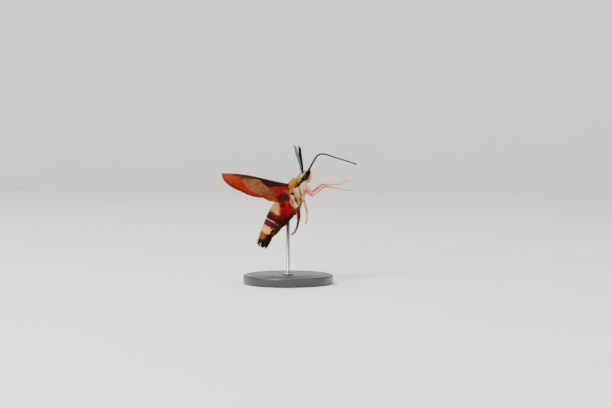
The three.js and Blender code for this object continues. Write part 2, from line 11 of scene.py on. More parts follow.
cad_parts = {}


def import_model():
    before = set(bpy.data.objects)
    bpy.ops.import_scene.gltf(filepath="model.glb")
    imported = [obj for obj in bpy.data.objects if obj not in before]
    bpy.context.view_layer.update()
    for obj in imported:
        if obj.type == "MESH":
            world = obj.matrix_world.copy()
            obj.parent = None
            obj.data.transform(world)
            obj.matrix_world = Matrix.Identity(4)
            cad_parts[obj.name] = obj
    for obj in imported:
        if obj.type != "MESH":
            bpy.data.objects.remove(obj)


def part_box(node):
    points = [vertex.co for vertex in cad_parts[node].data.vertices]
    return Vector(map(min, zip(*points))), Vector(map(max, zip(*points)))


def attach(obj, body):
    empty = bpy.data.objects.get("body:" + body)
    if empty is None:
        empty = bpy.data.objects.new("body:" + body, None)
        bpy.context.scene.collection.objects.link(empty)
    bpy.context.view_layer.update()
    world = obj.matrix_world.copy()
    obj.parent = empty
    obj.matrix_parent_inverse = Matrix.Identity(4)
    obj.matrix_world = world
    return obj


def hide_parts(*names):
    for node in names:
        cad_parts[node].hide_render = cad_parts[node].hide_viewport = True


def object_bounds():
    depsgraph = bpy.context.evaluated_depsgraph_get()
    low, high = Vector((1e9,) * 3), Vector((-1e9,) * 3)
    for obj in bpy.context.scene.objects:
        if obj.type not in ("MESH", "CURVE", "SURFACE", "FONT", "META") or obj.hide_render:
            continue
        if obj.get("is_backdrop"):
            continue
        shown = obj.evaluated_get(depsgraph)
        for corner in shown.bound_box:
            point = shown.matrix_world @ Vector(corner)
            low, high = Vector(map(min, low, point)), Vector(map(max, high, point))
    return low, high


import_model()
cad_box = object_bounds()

bl_info = {
    "name": "Hummingbird clearwing moth",
    "version": (1, 0, 0),
    "blender": (4, 5, 0),
    "location": "View3D > Sidebar > Moth",
    "description": "Builds the coat, wings, legs and stand of a life-size clearwing moth",
    "category": "Add Mesh",
}

MM = 0.001
PITCH = math.radians(58)  # of the body, head up
THORAX_AT = np.array([1.5, 0.0, 30.0])  # middle of the thorax over the stand

# Stations of the body from face to tail: place along it, height of the middle, half height, half width
# and depth of the coat
BODY = [
    [9.35, -0.62, 1.62, 1.25, 0.28],
    [7.05, -0.3, 1.98, 1.92, 0.3],
    [6.0, -0.3, 2.14, 2.02, 0.36],
    [5.2, -0.3, 2.45, 2.4, 0.5],
    [4.2, -0.4, 3.1, 3.1, 0.6],
    [2.6, -0.3, 3.7, 3.7, 0.65],
    [0.4, -0.2, 4.15, 4.1, 0.65],
    [-2.0, -0.25, 4.35, 4.25, 0.6],
    [-4.2, -0.3, 4.05, 4.0, 0.4],
    [-6.2, -0.25, 4.15, 4.2, 0.28],
    [-8.2, -0.1, 3.95, 4.2, 0.28],
    [-10.4, 0.05, 3.6, 3.9, 0.28],
    [-12.6, 0.1, 3.2, 3.45, 0.28],
    [-14.8, 0.2, 2.8, 2.95, 0.28],
    [-16.6, 0.3, 2.35, 2.5, 0.3],
    [-18.0, 0.35, 2.0, 2.1, 0.3],
]
FACE_X = 9.05
HEAD_X = 7.05
WAIST_X = -4.2
TAIL_X = -16.3
END_X = -17.8
SEGMENT = (WAIST_X - TAIL_X) / 6  # length of an abdomen ring
PATCH = 0.003  # size of a lock on the unwrap
EYE = {"x": 6.9, "y": 1.3, "z": -0.62, "long": 1.22, "wide": 0.92, "high": 1.02}
TUFT_WIDTH = {"thorax": 0.115, "head": 0.085, "abdomen": 0.17}

SPREAD = math.radians(20)  # of each wing from the moth's middle plane
RISE = math.radians(10.5)  # of the front edge from level
FLARE = math.radians(42)  # of the chord from upright, its back edge outwards
PLEATS = 9  # folds between the front and back edge of a wing


def unit(vectors):
    return vectors / np.maximum(np.linalg.norm(vectors, axis=-1, keepdims=True), 1e-9)


def lerp(a, b, share):
    return a + (b - a) * share


def smooth(start, end, value):
    t = np.clip((value - start) / (end - start), 0, 1)
    return t * t * (3 - 2 * t)


def hump(distance, width):
    return np.exp(-((distance / width) ** 2))


def world(points):
    """Body-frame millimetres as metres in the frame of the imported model."""
    p = np.asarray(points, float)
    c, s = math.cos(PITCH), math.sin(PITCH)
    turned = np.stack([c * p[..., 0] - s * p[..., 2], p[..., 1], s * p[..., 0] + c * p[..., 2]], -1)
    return (turned + THORAX_AT) * MM


def level(forwards, left, up):
    """A place measured level with the floor from the thorax, in the pitched body's frame."""
    c, s = math.cos(PITCH), math.sin(PITCH)
    return np.array([c * forwards + s * up, left, -s * forwards + c * up])


def between(rows, place):
    """Smooth values between rows of [place, value, value...]."""
    table = np.array(sorted(rows))
    at, values = table[:, 0], table[:, 1:]
    n = len(at)
    before, after = np.maximum(np.arange(n) - 1, 0), np.minimum(np.arange(n) + 1, n - 1)
    slopes = (values[after] - values[before]) / (at[after] - at[before])[:, None]
    place = np.atleast_1d(place)
    i = np.clip(np.searchsorted(at, place), 1, n - 1)
    step = (at[i] - at[i - 1])[:, None]
    s = np.clip((place - at[i - 1]) / (at[i] - at[i - 1]), 0, 1)[:, None]
    start, end = values[i - 1], values[i]
    return (
        (2 * s**3 - 3 * s**2 + 1) * start
        + (s**3 - 2 * s**2 + s) * step * slopes[i - 1]
        + (3 * s**2 - 2 * s**3) * end
        + (s**3 - s**2) * step * slopes[i]
    )


def ends_closed(share, cap):
    """1 along a limb, falling round to 0 at both ends."""
    inside = np.minimum(share, 1 - share) / cap
    return np.sqrt(np.clip(1 - (1 - np.clip(inside, 0, 1)) ** 2, 0, 1))


def body_surface(share, turn):
    """The skin of head, thorax and abdomen. turn 0 is the left side and a quarter turn the back."""
    t = share - 0.88 * np.sin(2 * np.pi * share) / (2 * np.pi)  # closer steps at both ends
    x = lerp(FACE_X, END_X, t)
    middle, high, wide, coat = between(BODY, x).T
    front = np.clip((x - HEAD_X) / (FACE_X - HEAD_X), 0, 1)
    back = np.clip((TAIL_X - x) / (TAIL_X - END_X), 0, 1)
    closed = np.sqrt(np.clip(1 - front**2, 0, 1)) * np.sqrt(np.clip(1 - back**2, 0, 1))
    behind = (WAIST_X - x) / SEGMENT
    in_ring = behind - np.floor(behind)
    rings = smooth(0.4, 0.9, behind)
    relief = -0.3 * rings * (1 - in_ring) ** 2.5 * smooth(0, 0.05, in_ring)
    across, up = np.cos(turn), np.sin(turn)
    y = across * (wide - coat + relief) * closed
    z = middle + up * (high - coat + relief) * closed
    return np.stack([x, y, z], -1)


def densely(points, steps=40):
    """A smooth path through the points, as many short steps."""
    p = np.asarray(points, float)
    padded = np.vstack([2 * p[0] - p[1], p, 2 * p[-1] - p[-2]])
    path = []
    for i in range(1, len(padded) - 2):
        p0, p1, p2, p3 = padded[i - 1 : i + 3]
        gaps = [np.linalg.norm(b - a) ** 0.5 for a, b in ((p0, p1), (p1, p2), (p2, p3))]
        knots = np.cumsum([0] + gaps)
        t = np.linspace(knots[1], knots[2], steps, endpoint=False)[:, None]
        k0, k1, k2, k3 = knots
        a1 = (k1 - t) / (k1 - k0) * p0 + (t - k0) / (k1 - k0) * p1
        a2 = (k2 - t) / (k2 - k1) * p1 + (t - k1) / (k2 - k1) * p2
        a3 = (k3 - t) / (k3 - k2) * p2 + (t - k2) / (k3 - k2) * p3
        b1 = (k2 - t) / (k2 - k0) * a1 + (t - k0) / (k2 - k0) * a2
        b2 = (k3 - t) / (k3 - k1) * a2 + (t - k1) / (k3 - k1) * a3
        path.append((k2 - t) / (k2 - k1) * b1 + (t - k1) / (k2 - k1) * b2)
    return np.vstack(path + [p[-1:]])


def jointed(points, bend=0.35):
    """Straight lengths between the points, with each corner rounded over about bend mm."""
    p = np.asarray(points, float)
    corners = [p[0]]
    for a, b, c in zip(p, p[1:], p[2:]):
        corners += [b + unit(a - b) * bend, b, b + unit(c - b) * bend]
    corners.append(p[-1])
    lengths = [np.linspace(a, b, 12, endpoint=False) for a, b in zip(corners, corners[1:])]
    path = np.vstack(lengths + [p[-1:]])
    for _ in range(6):
        path[1:-1] = (path[:-2] + 2 * path[1:-1] + path[2:]) / 4
    return path


def path_length(path):
    return np.concatenate([[0], np.cumsum(np.linalg.norm(np.diff(path, axis=0), axis=1))])


def limb_surface(path, radius, upright):
    """A surface round a path. radius(share, turn) gives its half width and half height there."""
    lengths = path_length(path)
    shares = lengths / lengths[-1]
    headings = unit(np.gradient(path, lengths, axis=0))

    def surface(share, turn):
        at = np.stack([np.interp(share, shares, path[:, k]) for k in range(3)], -1)
        along = unit(np.stack([np.interp(share, shares, headings[:, k]) for k in range(3)], -1))
        side = unit(np.cross(upright, along))
        up = np.cross(along, side)
        wide, high = radius(share, turn)
        return at + side * (wide * np.cos(turn))[..., None] + up * (high * np.sin(turn))[..., None]

    return surface


def wing_frame():
    """The left wing's directions: along the span, along the chord and out of its underside."""
    cs, ss, cr, sr = math.cos(SPREAD), math.sin(SPREAD), math.cos(RISE), math.sin(RISE)
    span = level(-cs * cr, ss * cr, sr)
    inwards = level(-ss, -cs, 0)
    upright = unit(np.cross(span, inwards))
    chord = unit(-math.cos(FLARE) * upright - math.sin(FLARE) * inwards)
    return span, chord, np.cross(chord, span)


# Each wing: root, its chord there, tip and rear corner as [along the span, along the chord], and how far
# it is lifted and tucked in. Its window runs from front to back as shares of the way between the edges, and
# inner and outer give its limits as [share from front to back, share of the way out]. veins are [share from
# front to back, where it starts], cell is the vein across, and costa is the front vein's size at both ends.
FOREWING = {
    "root": np.array([1.0, 2.6, 3.2]),
    "root_chord": (-1.0, 1.0),
    "tip": (23.2, 1.0),
    "corner": (12.6, 8.6),
    "lift": 0.0,
    "tuck": 0.0,
    "front": 0.07,
    "back": 0.955,
    "inner": [(0, 0.46), (0.21, 0.42), (0.36, 0.4), (0.56, 0.38), (0.61, 0.36), (0.89, 0.35), (1, 0.35)],
    "outer": [(0, 0.79), (0.3, 0.8), (0.46, 0.81), (0.6, 0.83), (0.8, 0.83), (0.94, 0.86), (1, 0.88)],
    "veins": [
        (0.07, 0),
        (0.12, 0.6),
        (0.2, 0),
        (0.31, 0.5),
        (0.43, 0.5),
        (0.54, 0.5),
        (0.66, 0),
        (0.78, 0.3),
        (0.9, 0),
    ],
    "cell": (0.2, 0.66, 0.5),
    "costa": (0.24, 0.08),
}
HINDWING = {
    "root": np.array([-1.8, 3.7, 2.1]),
    "root_chord": (-0.75, 0.95),
    "tip": (12.4, 5.2),
    "corner": (2.0, 4.2),
    "lift": 2.5,
    "tuck": 1.2,
    "front": 0.03,
    "back": 0.4,
    "inner": [(0.0, 0.5), (0.25, 0.52), (0.5, 0.66), (1, 0.7)],
    "outer": [(0.0, 0.93), (0.25, 0.88), (0.5, 0.8), (1, 0.8)],
    "veins": [(0.07, 0), (0.14, 0.5), (0.23, 0.5), (0.32, 0), (0.42, 0.5), (0.62, 0), (0.82, 0)],
    "cell": (0.07, 0.32, 0.5),
    "costa": (0.12, 0.05),
}


def wing_surface(shape, side, edge, out):
    """A wing's middle sheet; edge runs from front to back, out from root to tip, side is -1 on the right."""
    span, chord, under = wing_frame()
    bow = np.sin(np.pi * edge)
    rounded = 1 - 0.09 * edge**10 - 0.05 * (1 - edge) ** 6
    tip, corner = shape["tip"], shape["corner"]
    outer_along = rounded * (lerp(tip[0], corner[0], edge) + 1.7 * bow * (1 - 0.4 * edge))
    outer_back = rounded * (lerp(tip[1], corner[1], edge) + 0.7 * bow)
    inner = lerp(shape["root_chord"][0], shape["root_chord"][1], edge)
    bows = -1.25 * np.sin(np.pi * out**1.4) * (1 - edge) ** 2 - 0.5 * np.sin(np.pi * out) * edge**2
    back = lerp(inner, outer_back, out) + bows
    along = outer_along * out - 2.4 * (1 - out) ** 6
    pleats = 0.07 * np.cos(2 * np.pi * PLEATS * edge) * smooth(0.2, 0.6, out)
    camber = -0.7 * bow * np.sqrt(out) + 0.8 * out * out + pleats
    lift = shape["lift"] * (1 - 0.6 * edge**2) * smooth(0, 0.3, out) - shape["tuck"] * out * edge**2
    across = camber + lift
    steps = along[..., None] * span + back[..., None] * chord + across[..., None] * under
    return (shape["root"] + steps) * np.array([1, side, 1])


def in_window(shape, edge, out):
    """Over 0 inside the clear window and under 0 in the scaled border, in shares of the wing's length."""
    teeth = 0.012 * np.abs(np.sin(np.pi * PLEATS * edge))
    inner = np.interp(edge, *zip(*shape["inner"]))
    outer = np.interp(edge, *zip(*shape["outer"])) - teeth
    front, back = (edge - shape["front"]) * 0.6, (shape["back"] - edge) * 0.6
    sides = np.stack([front, back, out - inner, outer - out])
    sharp = 55  # of the window's corners
    return -np.log(np.exp(-sharp * sides).sum(0)) / sharp


# Colours: sRGB hex to linear
def linear(hexadecimal):
    parts = [int(hexadecimal[i : i + 2], 16) / 255 for i in (1, 3, 5)]
    return tuple(c / 12.92 if c <= 0.04045 else ((c + 0.055) / 1.055) ** 2.4 for c in parts)


def colour(name, hexadecimal, description):
    shade = linear(hexadecimal)
    return bpy.props.FloatVectorProperty(
        name=name, description=description, subtype="COLOR", size=3, min=0, max=1, default=shade
    )


def length(name, millimetres, description):
    metres = millimetres * MM
    return bpy.props.FloatProperty(
        name=name, description=description, unit="LENGTH", subtype="DISTANCE", min=0, default=metres
    )


def number(name, default, description):
    return bpy.props.IntProperty(name=name, description=description, min=0, default=default)


class CoatSettings(bpy.types.PropertyGroup):
    olive: colour("Olive hair", "#a67628", "Back of the thorax")
    # also the painted highlight along the top of the back
    gold: colour("Gold hair", "#dcac50", "Lighter streaks of the back")
    crown: colour("Crown hair", "#ccae66", "Top of the head")
    pale: colour("Pale hair", "#f6ca96", "Underside of the thorax and the face")
    blush: colour("Face hair", "#c0705c", "Pinkish tint of the face")
    tan: colour("Tan hair", "#b86e42", "Streaks in the pale underside")
    # also the painted shade between the tufts and under their tips, in the neck folds and along the thigh's
    # edges
    umber: colour("Brown hair", "#421a0a", "Thin dark lines in the underside")
    black: colour("Black hair", "#030101", "Band over the eye and the lines between rings")
    orange: colour("Orange hair", "#b85012", "Root of the wings and sides of the tail")
    flank: colour("Red flank", "#ac0814", "First rings of the abdomen")
    cream: colour("Cream patch", "#ffb466", "Back of the first rings")
    burgundy: colour("Burgundy band", "#580006", "Middle rings")
    belly: colour("Dark belly", "#340704", "Underside of the abdomen")
    white: colour("White hair", "#fff2dc", "Ring, spots and tufts")
    tail_dark: colour("Tail scales", "#0e0402", "Long scales of the tail fan")
    thorax_hair: length("Thorax hair", 1.25, "Length of the hair on the back of the thorax")
    head_hair: length("Head hair", 0.6, "Length of the hair on the head")
    scale: length("Abdomen scale", 0.62, "Length of the flat scales on the abdomen")
    tail_scale: length("Tail scale", 3.5, "Length of the scales of the tail fan")
    thorax_count: number("Thorax tufts", 52000, "Tufts on the thorax")
    head_count: number("Head tufts", 9000, "Tufts on the head")
    flap_count: number("Flap tufts", 1900, "Tufts on each palp and shoulder flap")
    abdomen_count: number("Abdomen scales", 30000, "Scales on the abdomen")
    tail_count: number("Tail scales in the fan", 3600, "Long scales behind the abdomen")


class WingSettings(bpy.types.PropertyGroup):
    # also the hindwing's inner lobe, where it is partly painted shade
    base_dark: colour("Dark base", "#1c0102", "Front of the base of the wing")
    base_red: colour("Red base", "#840204", "Back of the base of the wing")
    border: colour("Red border", "#960804", "Scaled outer border")
    tip: colour("Tip", "#a03c12", "Border near the tip")
    rim: colour("Dark rim", "#480804", "Outermost edge")
    costa: colour("Front edge", "#38200c", "Front edge beyond the base")
    hind: colour("Hindwing", "#9c260c", "Outer part of the hindwing")
    window: colour("Window", "#7e5028", "Clear membrane")
    window_alpha: bpy.props.FloatProperty(
        name="Window cover",
        description="How much the membrane hides",
        subtype="FACTOR",
        min=0,
        max=1,
        default=0.72,
    )
    vein: colour("Veins", "#421408", "Ribs of the wing")
    sheet: length("Sheet thickness", 0.09, "Thickness of the scaled sheet")
    scale: length("Scale", 0.3, "Length of the wing scales, coarser than in life so that they show")
    scale_count: number("Scales", 11000, "Scales on each forewing; a hindwing has half as many")


class LimbSettings(bpy.types.PropertyGroup):
    pale: colour("Pale leg scales", "#e2865a", "Front and middle legs")
    # painted highlight along the upper side of the front and middle legs
    painted_leg_highlight: colour("Pale ridge", "#ffe2cc", "Upper side of the front and middle legs")
    # also the painted shade along the underside of the front and middle legs
    dark_joint_and_shade: colour("Dark joints", "#7a2c16", "Knees and ankles")
    hind: colour("Dark leg scales", "#420403", "Hind legs")
    hind_foot: colour("Hind foot", "#a05c46", "Feet of the hind legs")
    feeler: colour("Feeler", "#040305", "Antennae")
    # painted sheen: grey light reflected along the side that faces the other antenna
    painted_feeler_sheen: colour("Feeler's inner side", "#5c6066", "Grey scales that face the other antenna")
    tongue: colour("Tongue", "#181405", "Proboscis")
    eye: colour("Eye", "#050101", "Compound eye")
    scale: length("Leg scale", 0.26, "Length of the leg scales")
    scale_count: number("Leg scales", 1500, "Scales on each leg")


class StageSettings(bpy.types.PropertyGroup):
    paint: colour("Base paint", "#2a2a2c", "Satin paint of the display base")
    steel: colour("Rod steel", "#b4b6ba", "Brushed steel of the rod")
    floor: colour("Floor", "#f2f0ec", "Floor and backdrop")
    key_power: bpy.props.FloatProperty(
        name="Key light", description="Power of the main lamp", unit="POWER", min=0, default=11.5
    )
    sky: bpy.props.FloatProperty(
        name="Room light", description="Strength of the even light", min=0, default=0.34
    )
    lens: bpy.props.FloatProperty(name="Lens", description="Focal length in mm", min=1, default=105)


# Meshes
def add_piece(name, mesh, material, slot, replaced=()):
    """Links a mesh as one piece of the moth that stands for the CAD nodes it replaces."""
    mesh.materials.append(material)
    piece = bpy.data.objects.new(name, mesh)
    bpy.context.scene.collection.objects.link(piece)
    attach(piece, "root")
    if replaced:
        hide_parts(*replaced)
    return piece


def mesh_of(bm, name):
    bmesh.ops.remove_doubles(bm, verts=bm.verts, dist=1e-8)
    bmesh.ops.recalc_face_normals(bm, faces=bm.faces)
    mesh = bpy.data.meshes.new(name)
    bm.to_mesh(mesh)
    bm.free()
    mesh.shade_smooth()
    return mesh


def stretch_sphere(bm, surface, sides, rings, paint=None):
    """Adds a closed skin to bm: a sphere with every vertex moved to its place on the surface."""
    layers = bm.verts.layers.float_color
    layer = layers.get("Coat") or layers.new("Coat")
    made = bmesh.ops.create_uvsphere(
        bm, u_segments=sides, v_segments=rings, radius=1, calc_uvs=True
    )["verts"]
    at = np.array([v.co for v in made])
    share = np.arccos(np.clip(at[:, 2], -1, 1)) / np.pi
    turn = np.arctan2(at[:, 1], at[:, 0])
    places = surface(share, turn)
    for vertex, place in zip(made, world(places)):
        vertex.co = place
    if paint:
        for vertex, shade in zip(made, paint(places, share)):
            vertex[layer] = (*shade, 1)


def roots_on(surface, count, rng, keep=None):
    """Places spread evenly over a surface, as arrays: place, outward normal, way along it, share, turn."""
    found = []
    tiny = 1e-4
    while sum(len(batch[0]) for batch in found) < count:
        share = rng.random(2 * count)
        turn = rng.random(2 * count) * 2 * np.pi - np.pi
        place = surface(share, turn)
        along = (surface(share + tiny, turn) - surface(share - tiny, turn)) / (2 * tiny)
        round_it = (surface(share, turn + tiny) - surface(share, turn - tiny)) / (2 * tiny)
        normal = np.cross(along, round_it)
        area = np.linalg.norm(normal, axis=1)
        middle = (place + surface(share, turn + np.pi)) / 2
        normal = unit(normal) * np.sign(((place - middle) * normal).sum(1))[:, None]
        chosen = rng.random(len(share)) * np.quantile(area, 0.99) < area
        if keep is not None:
            chosen &= rng.random(len(share)) < keep(place)
        found.append([values[chosen] for values in (place, normal, unit(along), share, turn)])
    return [np.concatenate(arrays)[:count] for arrays in zip(*found)]


def rough(places, size, seed):
    """Smooth random values from -1 to 1 that change over about size mm."""
    offset = Vector((seed * 17.3, seed * 5.1, seed * 9.7))
    scale = 1 / np.asarray(size, float)
    spread = 1.6  # brings the noise to its full range
    return np.array([noise.noise(Vector(p * scale) + offset) for p in places]) * spread


def clump_pull(places, clumps, rng):
    """The way from each place to the middle of its clump, and the clump's number."""
    chosen = rng.choice(len(places), max(clumps, 1), replace=False)
    tree = kdtree.KDTree(len(chosen))
    for i, n in enumerate(chosen):
        tree.insert(places[n], i)
    tree.balance()
    nearest = np.array([tree.find(p)[1] for p in places])
    return places[chosen][nearest] - places, nearest


def grow(name, root, bend, tip, upright, width, thick, shade, patch, stations=(0, 0.5)):
    """A joined mesh of closed, tapered, three-sided locks that run from root past bend to tip."""
    n, last = len(root), 3 * (len(stations) - 1)
    per_lock = last + 4
    verts = np.empty((n, per_lock, 3))
    # painted shade: each lock darker at its root, where the locks shade each other, and a little lighter at
    # its tip
    painted_root_shade = np.empty((n, per_lock))  # share of the lock's colour, darker at the root
    within = np.empty((per_lock, 2))
    for k, t in enumerate(stations):
        centre = (1 - t) ** 2 * root + 2 * t * (1 - t) * bend + t**2 * tip
        heading = unit((1 - t) * (bend - root) + t * (tip - bend))
        across = unit(np.cross(heading, upright))
        over = np.cross(across, heading)
        half = (width / 2 * (0.55 + 0.9 * t - 0.95 * t**2))[:, None]
        crown = (thick * (1 - 0.5 * t))[:, None]
        verts[:, 3 * k] = centre + across * half
        verts[:, 3 * k + 1] = centre - across * half
        verts[:, 3 * k + 2] = centre + over * crown
        # painted shade, from dark at the root to light at the tip
        painted_root_shade[:, 3 * k : 3 * k + 3] = 0.55 + 0.55 * t
        within[3 * k : 3 * k + 3] = [(-0.5, t - 0.5), (0.5, t - 0.5), (0, t - 0.5)]
    verts[:, -1] = tip
    painted_root_shade[:, -1] = 1.12
    within[-1] = (0, 0.5)
    sides = ((0, 1), (1, 2), (2, 0))
    pattern = [(0, 2, 1)]
    for p in range(0, last, 3):
        for a, b in sides:
            pattern += [(p + a, p + b, p + b + 3), (p + a, p + b + 3, p + a + 3)]
    pattern += [(last + a, last + b, last + 3) for a, b in sides]
    corners = (np.arange(n)[:, None, None] * per_lock + np.array(pattern)).reshape(-1)
    mesh = bpy.data.meshes.new(name)
    mesh.vertices.add(n * per_lock)
    mesh.vertices.foreach_set("co", world(verts).reshape(-1))
    mesh.loops.add(len(corners))
    mesh.polygons.add(len(corners) // 3)
    mesh.polygons.foreach_set("loop_start", np.arange(0, len(corners), 3))
    mesh.loops.foreach_set("vertex_index", corners)
    mesh.update(calc_edges=True)
    shades = np.ones((n, per_lock, 4))
    shades[..., :3] = np.clip(shade[:, None, :] * painted_root_shade[..., None], 0, 1)
    mesh.attributes.new("Coat", "FLOAT_COLOR", "POINT").data.foreach_set("color", shades.reshape(-1))
    # each lock is a small patch at its root's place on the skin's unwrap
    flat = np.clip(patch[:, None, :] + PATCH * within, 0, 1).reshape(-1, 2)
    mesh.uv_layers.new(name="OFBake").data.foreach_set("uv", flat[corners].reshape(-1))
    mesh.shade_smooth()
    return mesh


def blend_to(base, mask, paint):
    mask = np.clip(mask, 0, 1)[:, None]
    return base * (1 - mask) + np.array(paint) * mask


def layered(base, n, layers):
    """One colour at n places, with each (colour, how much of it) laid over it in turn."""
    shade = np.tile(np.array(base), (n, 1))
    for paint, mask in layers:
        shade = blend_to(shade, mask, paint)
    return shade


def near(value, low, high, soft):
    """1 where value is between low and high, with soft edges."""
    return smooth(low - soft, low + soft, value) * (1 - smooth(high - soft, high + soft, value))


def seen_spot(places, h, d, half_long, half_high):
    """1 inside a round patch on both sides of the body."""
    reach = (places * [1, 0, 1] - np.array((h, 0, d))) / np.array((half_long, 1, half_high))
    return 1 - smooth(0.7, 1.3, np.linalg.norm(reach, axis=1))


# Edges of the markings, read from the side: the line between back and underside and the half height of the
# black band on it, both at places along the body, and how far forward the abdomen's colours start, at
# heights out of the back
LINE = [(-4.5, 2.4), (0.5, 2.1), (1.5, 1.6), (2.5, 0.6), (4.1, 0.15), (5.4, -0.35)]
LINE += [(6.9, -0.68), (10.3, -0.85)]
BAND = [(1.9, 0.1), (3.0, 0.26), (4.6, 0.36), (5.6, 0.6), (6.9, 0.9), (8.3, 0.8), (9.2, 0.6), (10.3, 0.5)]
HIP = [(-5, -4.9), (-3.35, -4.4), (-1.9, -3.4), (-0.15, -2.6), (1.0, -2.4), (2.2, -3.2), (4.5, -3.9)]


def read_at(rows, value):
    return np.interp(value, *zip(*rows))


def front_markings(places, coat):
    """Head and thorax: olive back, black band through the eye, and a pale streaked underside."""
    # h is the place along the body and d the height out of the back, both astray so that edges wander
    h = places[:, 0] + (0.2 * rough(places, 0.9, 1) + 0.1 * rough(places, 0.35, 2))
    side = np.abs(places[:, 1])
    d = places[:, 2] + 0.2 * rough(places, 0.7, 3)
    x, y, z = places.T
    hanging = np.stack([0.63 * x + 0.77 * z, y, 0.63 * z - 0.77 * x], -1)  # along the hair, then across it

    def streaks(size, seed, start, full):
        return smooth(start, full, rough(hanging, size, seed))

    chest = smooth(5.6, 4.4, h)
    hip = smooth(1.8, -1.0, h)
    # The middle leg's thigh lies along the breast as a pale strip, with painted shade along both its edges
    across = 0.61 * (h - 3.4) - 0.79 * (d + 0.85)
    along = -0.79 * (h - 3.4) - 0.61 * (d + 0.85)
    thigh = near(along, 0, 3.6, 0.4) * smooth(2.0, 3.0, side)
    thigh_edge_shade = hump(across - 0.65, 0.2) + hump(across + 0.65, 0.2)
    line = read_at(LINE, h)
    back = smooth(-0.2, 0.25, d - line)
    folds = hump(h - 5.35 - 0.25 * d, 0.16) + hump(h - 4.35 - 0.2 * d, 0.12)
    on_flank = smooth(1.8, 2.8, side)
    root = seen_spot(places, 0.4, 1.9, 1.3, 1.5) * on_flank
    # painted shade under the hindwing's root, where the wing lies along the body
    dark_lobe_and_shade = seen_spot(places, -2.3, 1.5, 1.7, 1.4) * on_flank
    band = smooth(1.2, 0.85, np.abs(d - line) / read_at(BAND, h))
    band = band * smooth(0.25, 0.7, side + smooth(7.8, 8.8, h))
    layers = (
        # pale underside with tan streaks, and brown lines that are painted shade between the tufts
        (coat.tan, 0.6 * chest * streaks((4.5, 1.4, 0.8), 4, 0.12, 0.4)),
        (coat.tan, 0.35 * chest * streaks((3.0, 0.7, 0.35), 18, 0.1, 0.4)),
        (coat.umber, 0.75 * chest * hump(rough(hanging, (5.0, 1.5, 0.9), 14) - 0.1, 0.06)),
        (coat.tan, 0.35 * chest * smooth(-3.0, -4.2, d)),
        # painted shadow: brown streaks under the tips of the tufts over the hip
        (coat.umber, 0.9 * hip * streaks((4.0, 0.8, 0.5), 20, 0.12, 0.3)),
        (coat.white, 0.5 * thigh * hump(across, 0.4)),
        # painted shade along both edges of the thigh
        (coat.umber, 0.95 * thigh * thigh_edge_shade),
        # face
        (coat.blush, 0.3 * smooth(4.6, 6.2, h)),
        (coat.tan, 0.3 * smooth(5.0, 6.5, h) * smooth(0.1, 0.5, rough(places, 0.6, 15))),
        # olive back with gold streaks, painted shade in the folds at the neck and a lighter crown
        (coat.olive, back),
        (coat.gold, back * 0.8 * smooth(0.0, 0.5, rough(places, (2.4, 0.6, 0.9), 5))),
        # painted highlight: gold along the top of the back, where the light falls
        (coat.gold, back * 0.5 * smooth(1.8, 3.2, d)),
        (coat.crown, back * smooth(5.6, 6.4, h)),
        # painted shade in the folds at the neck
        (coat.umber, 0.55 * back * folds * smooth(0.8, 1.8, side)),
        # root of the wings, with painted shade under the hindwing's root
        (coat.burgundy, dark_lobe_and_shade),
        (coat.orange, root * (0.45 + 0.5 * smooth(-0.3, 0.3, rough(places, 0.45, 6)))),
        (coat.black, 0.8 * root * smooth(0.35, 0.6, rough(places, 0.4, 16))),
        # band through the eye, two white spots above it and a black one on the breast
        (coat.black, band * smooth(2.1, 2.4, h)),
        (coat.white, seen_spot(places, 6.65, 0.7, 0.28, 0.26) * smooth(0.5, 1.0, side)),
        (coat.white, 0.7 * seen_spot(places, 4.55, 0.72, 0.2, 0.16) * smooth(1.2, 2.0, side)),
        (coat.black, seen_spot(places, 0.34, 0.6, 0.5, 0.5) * on_flank),
    )
    return layered(coat.pale, len(places), layers)


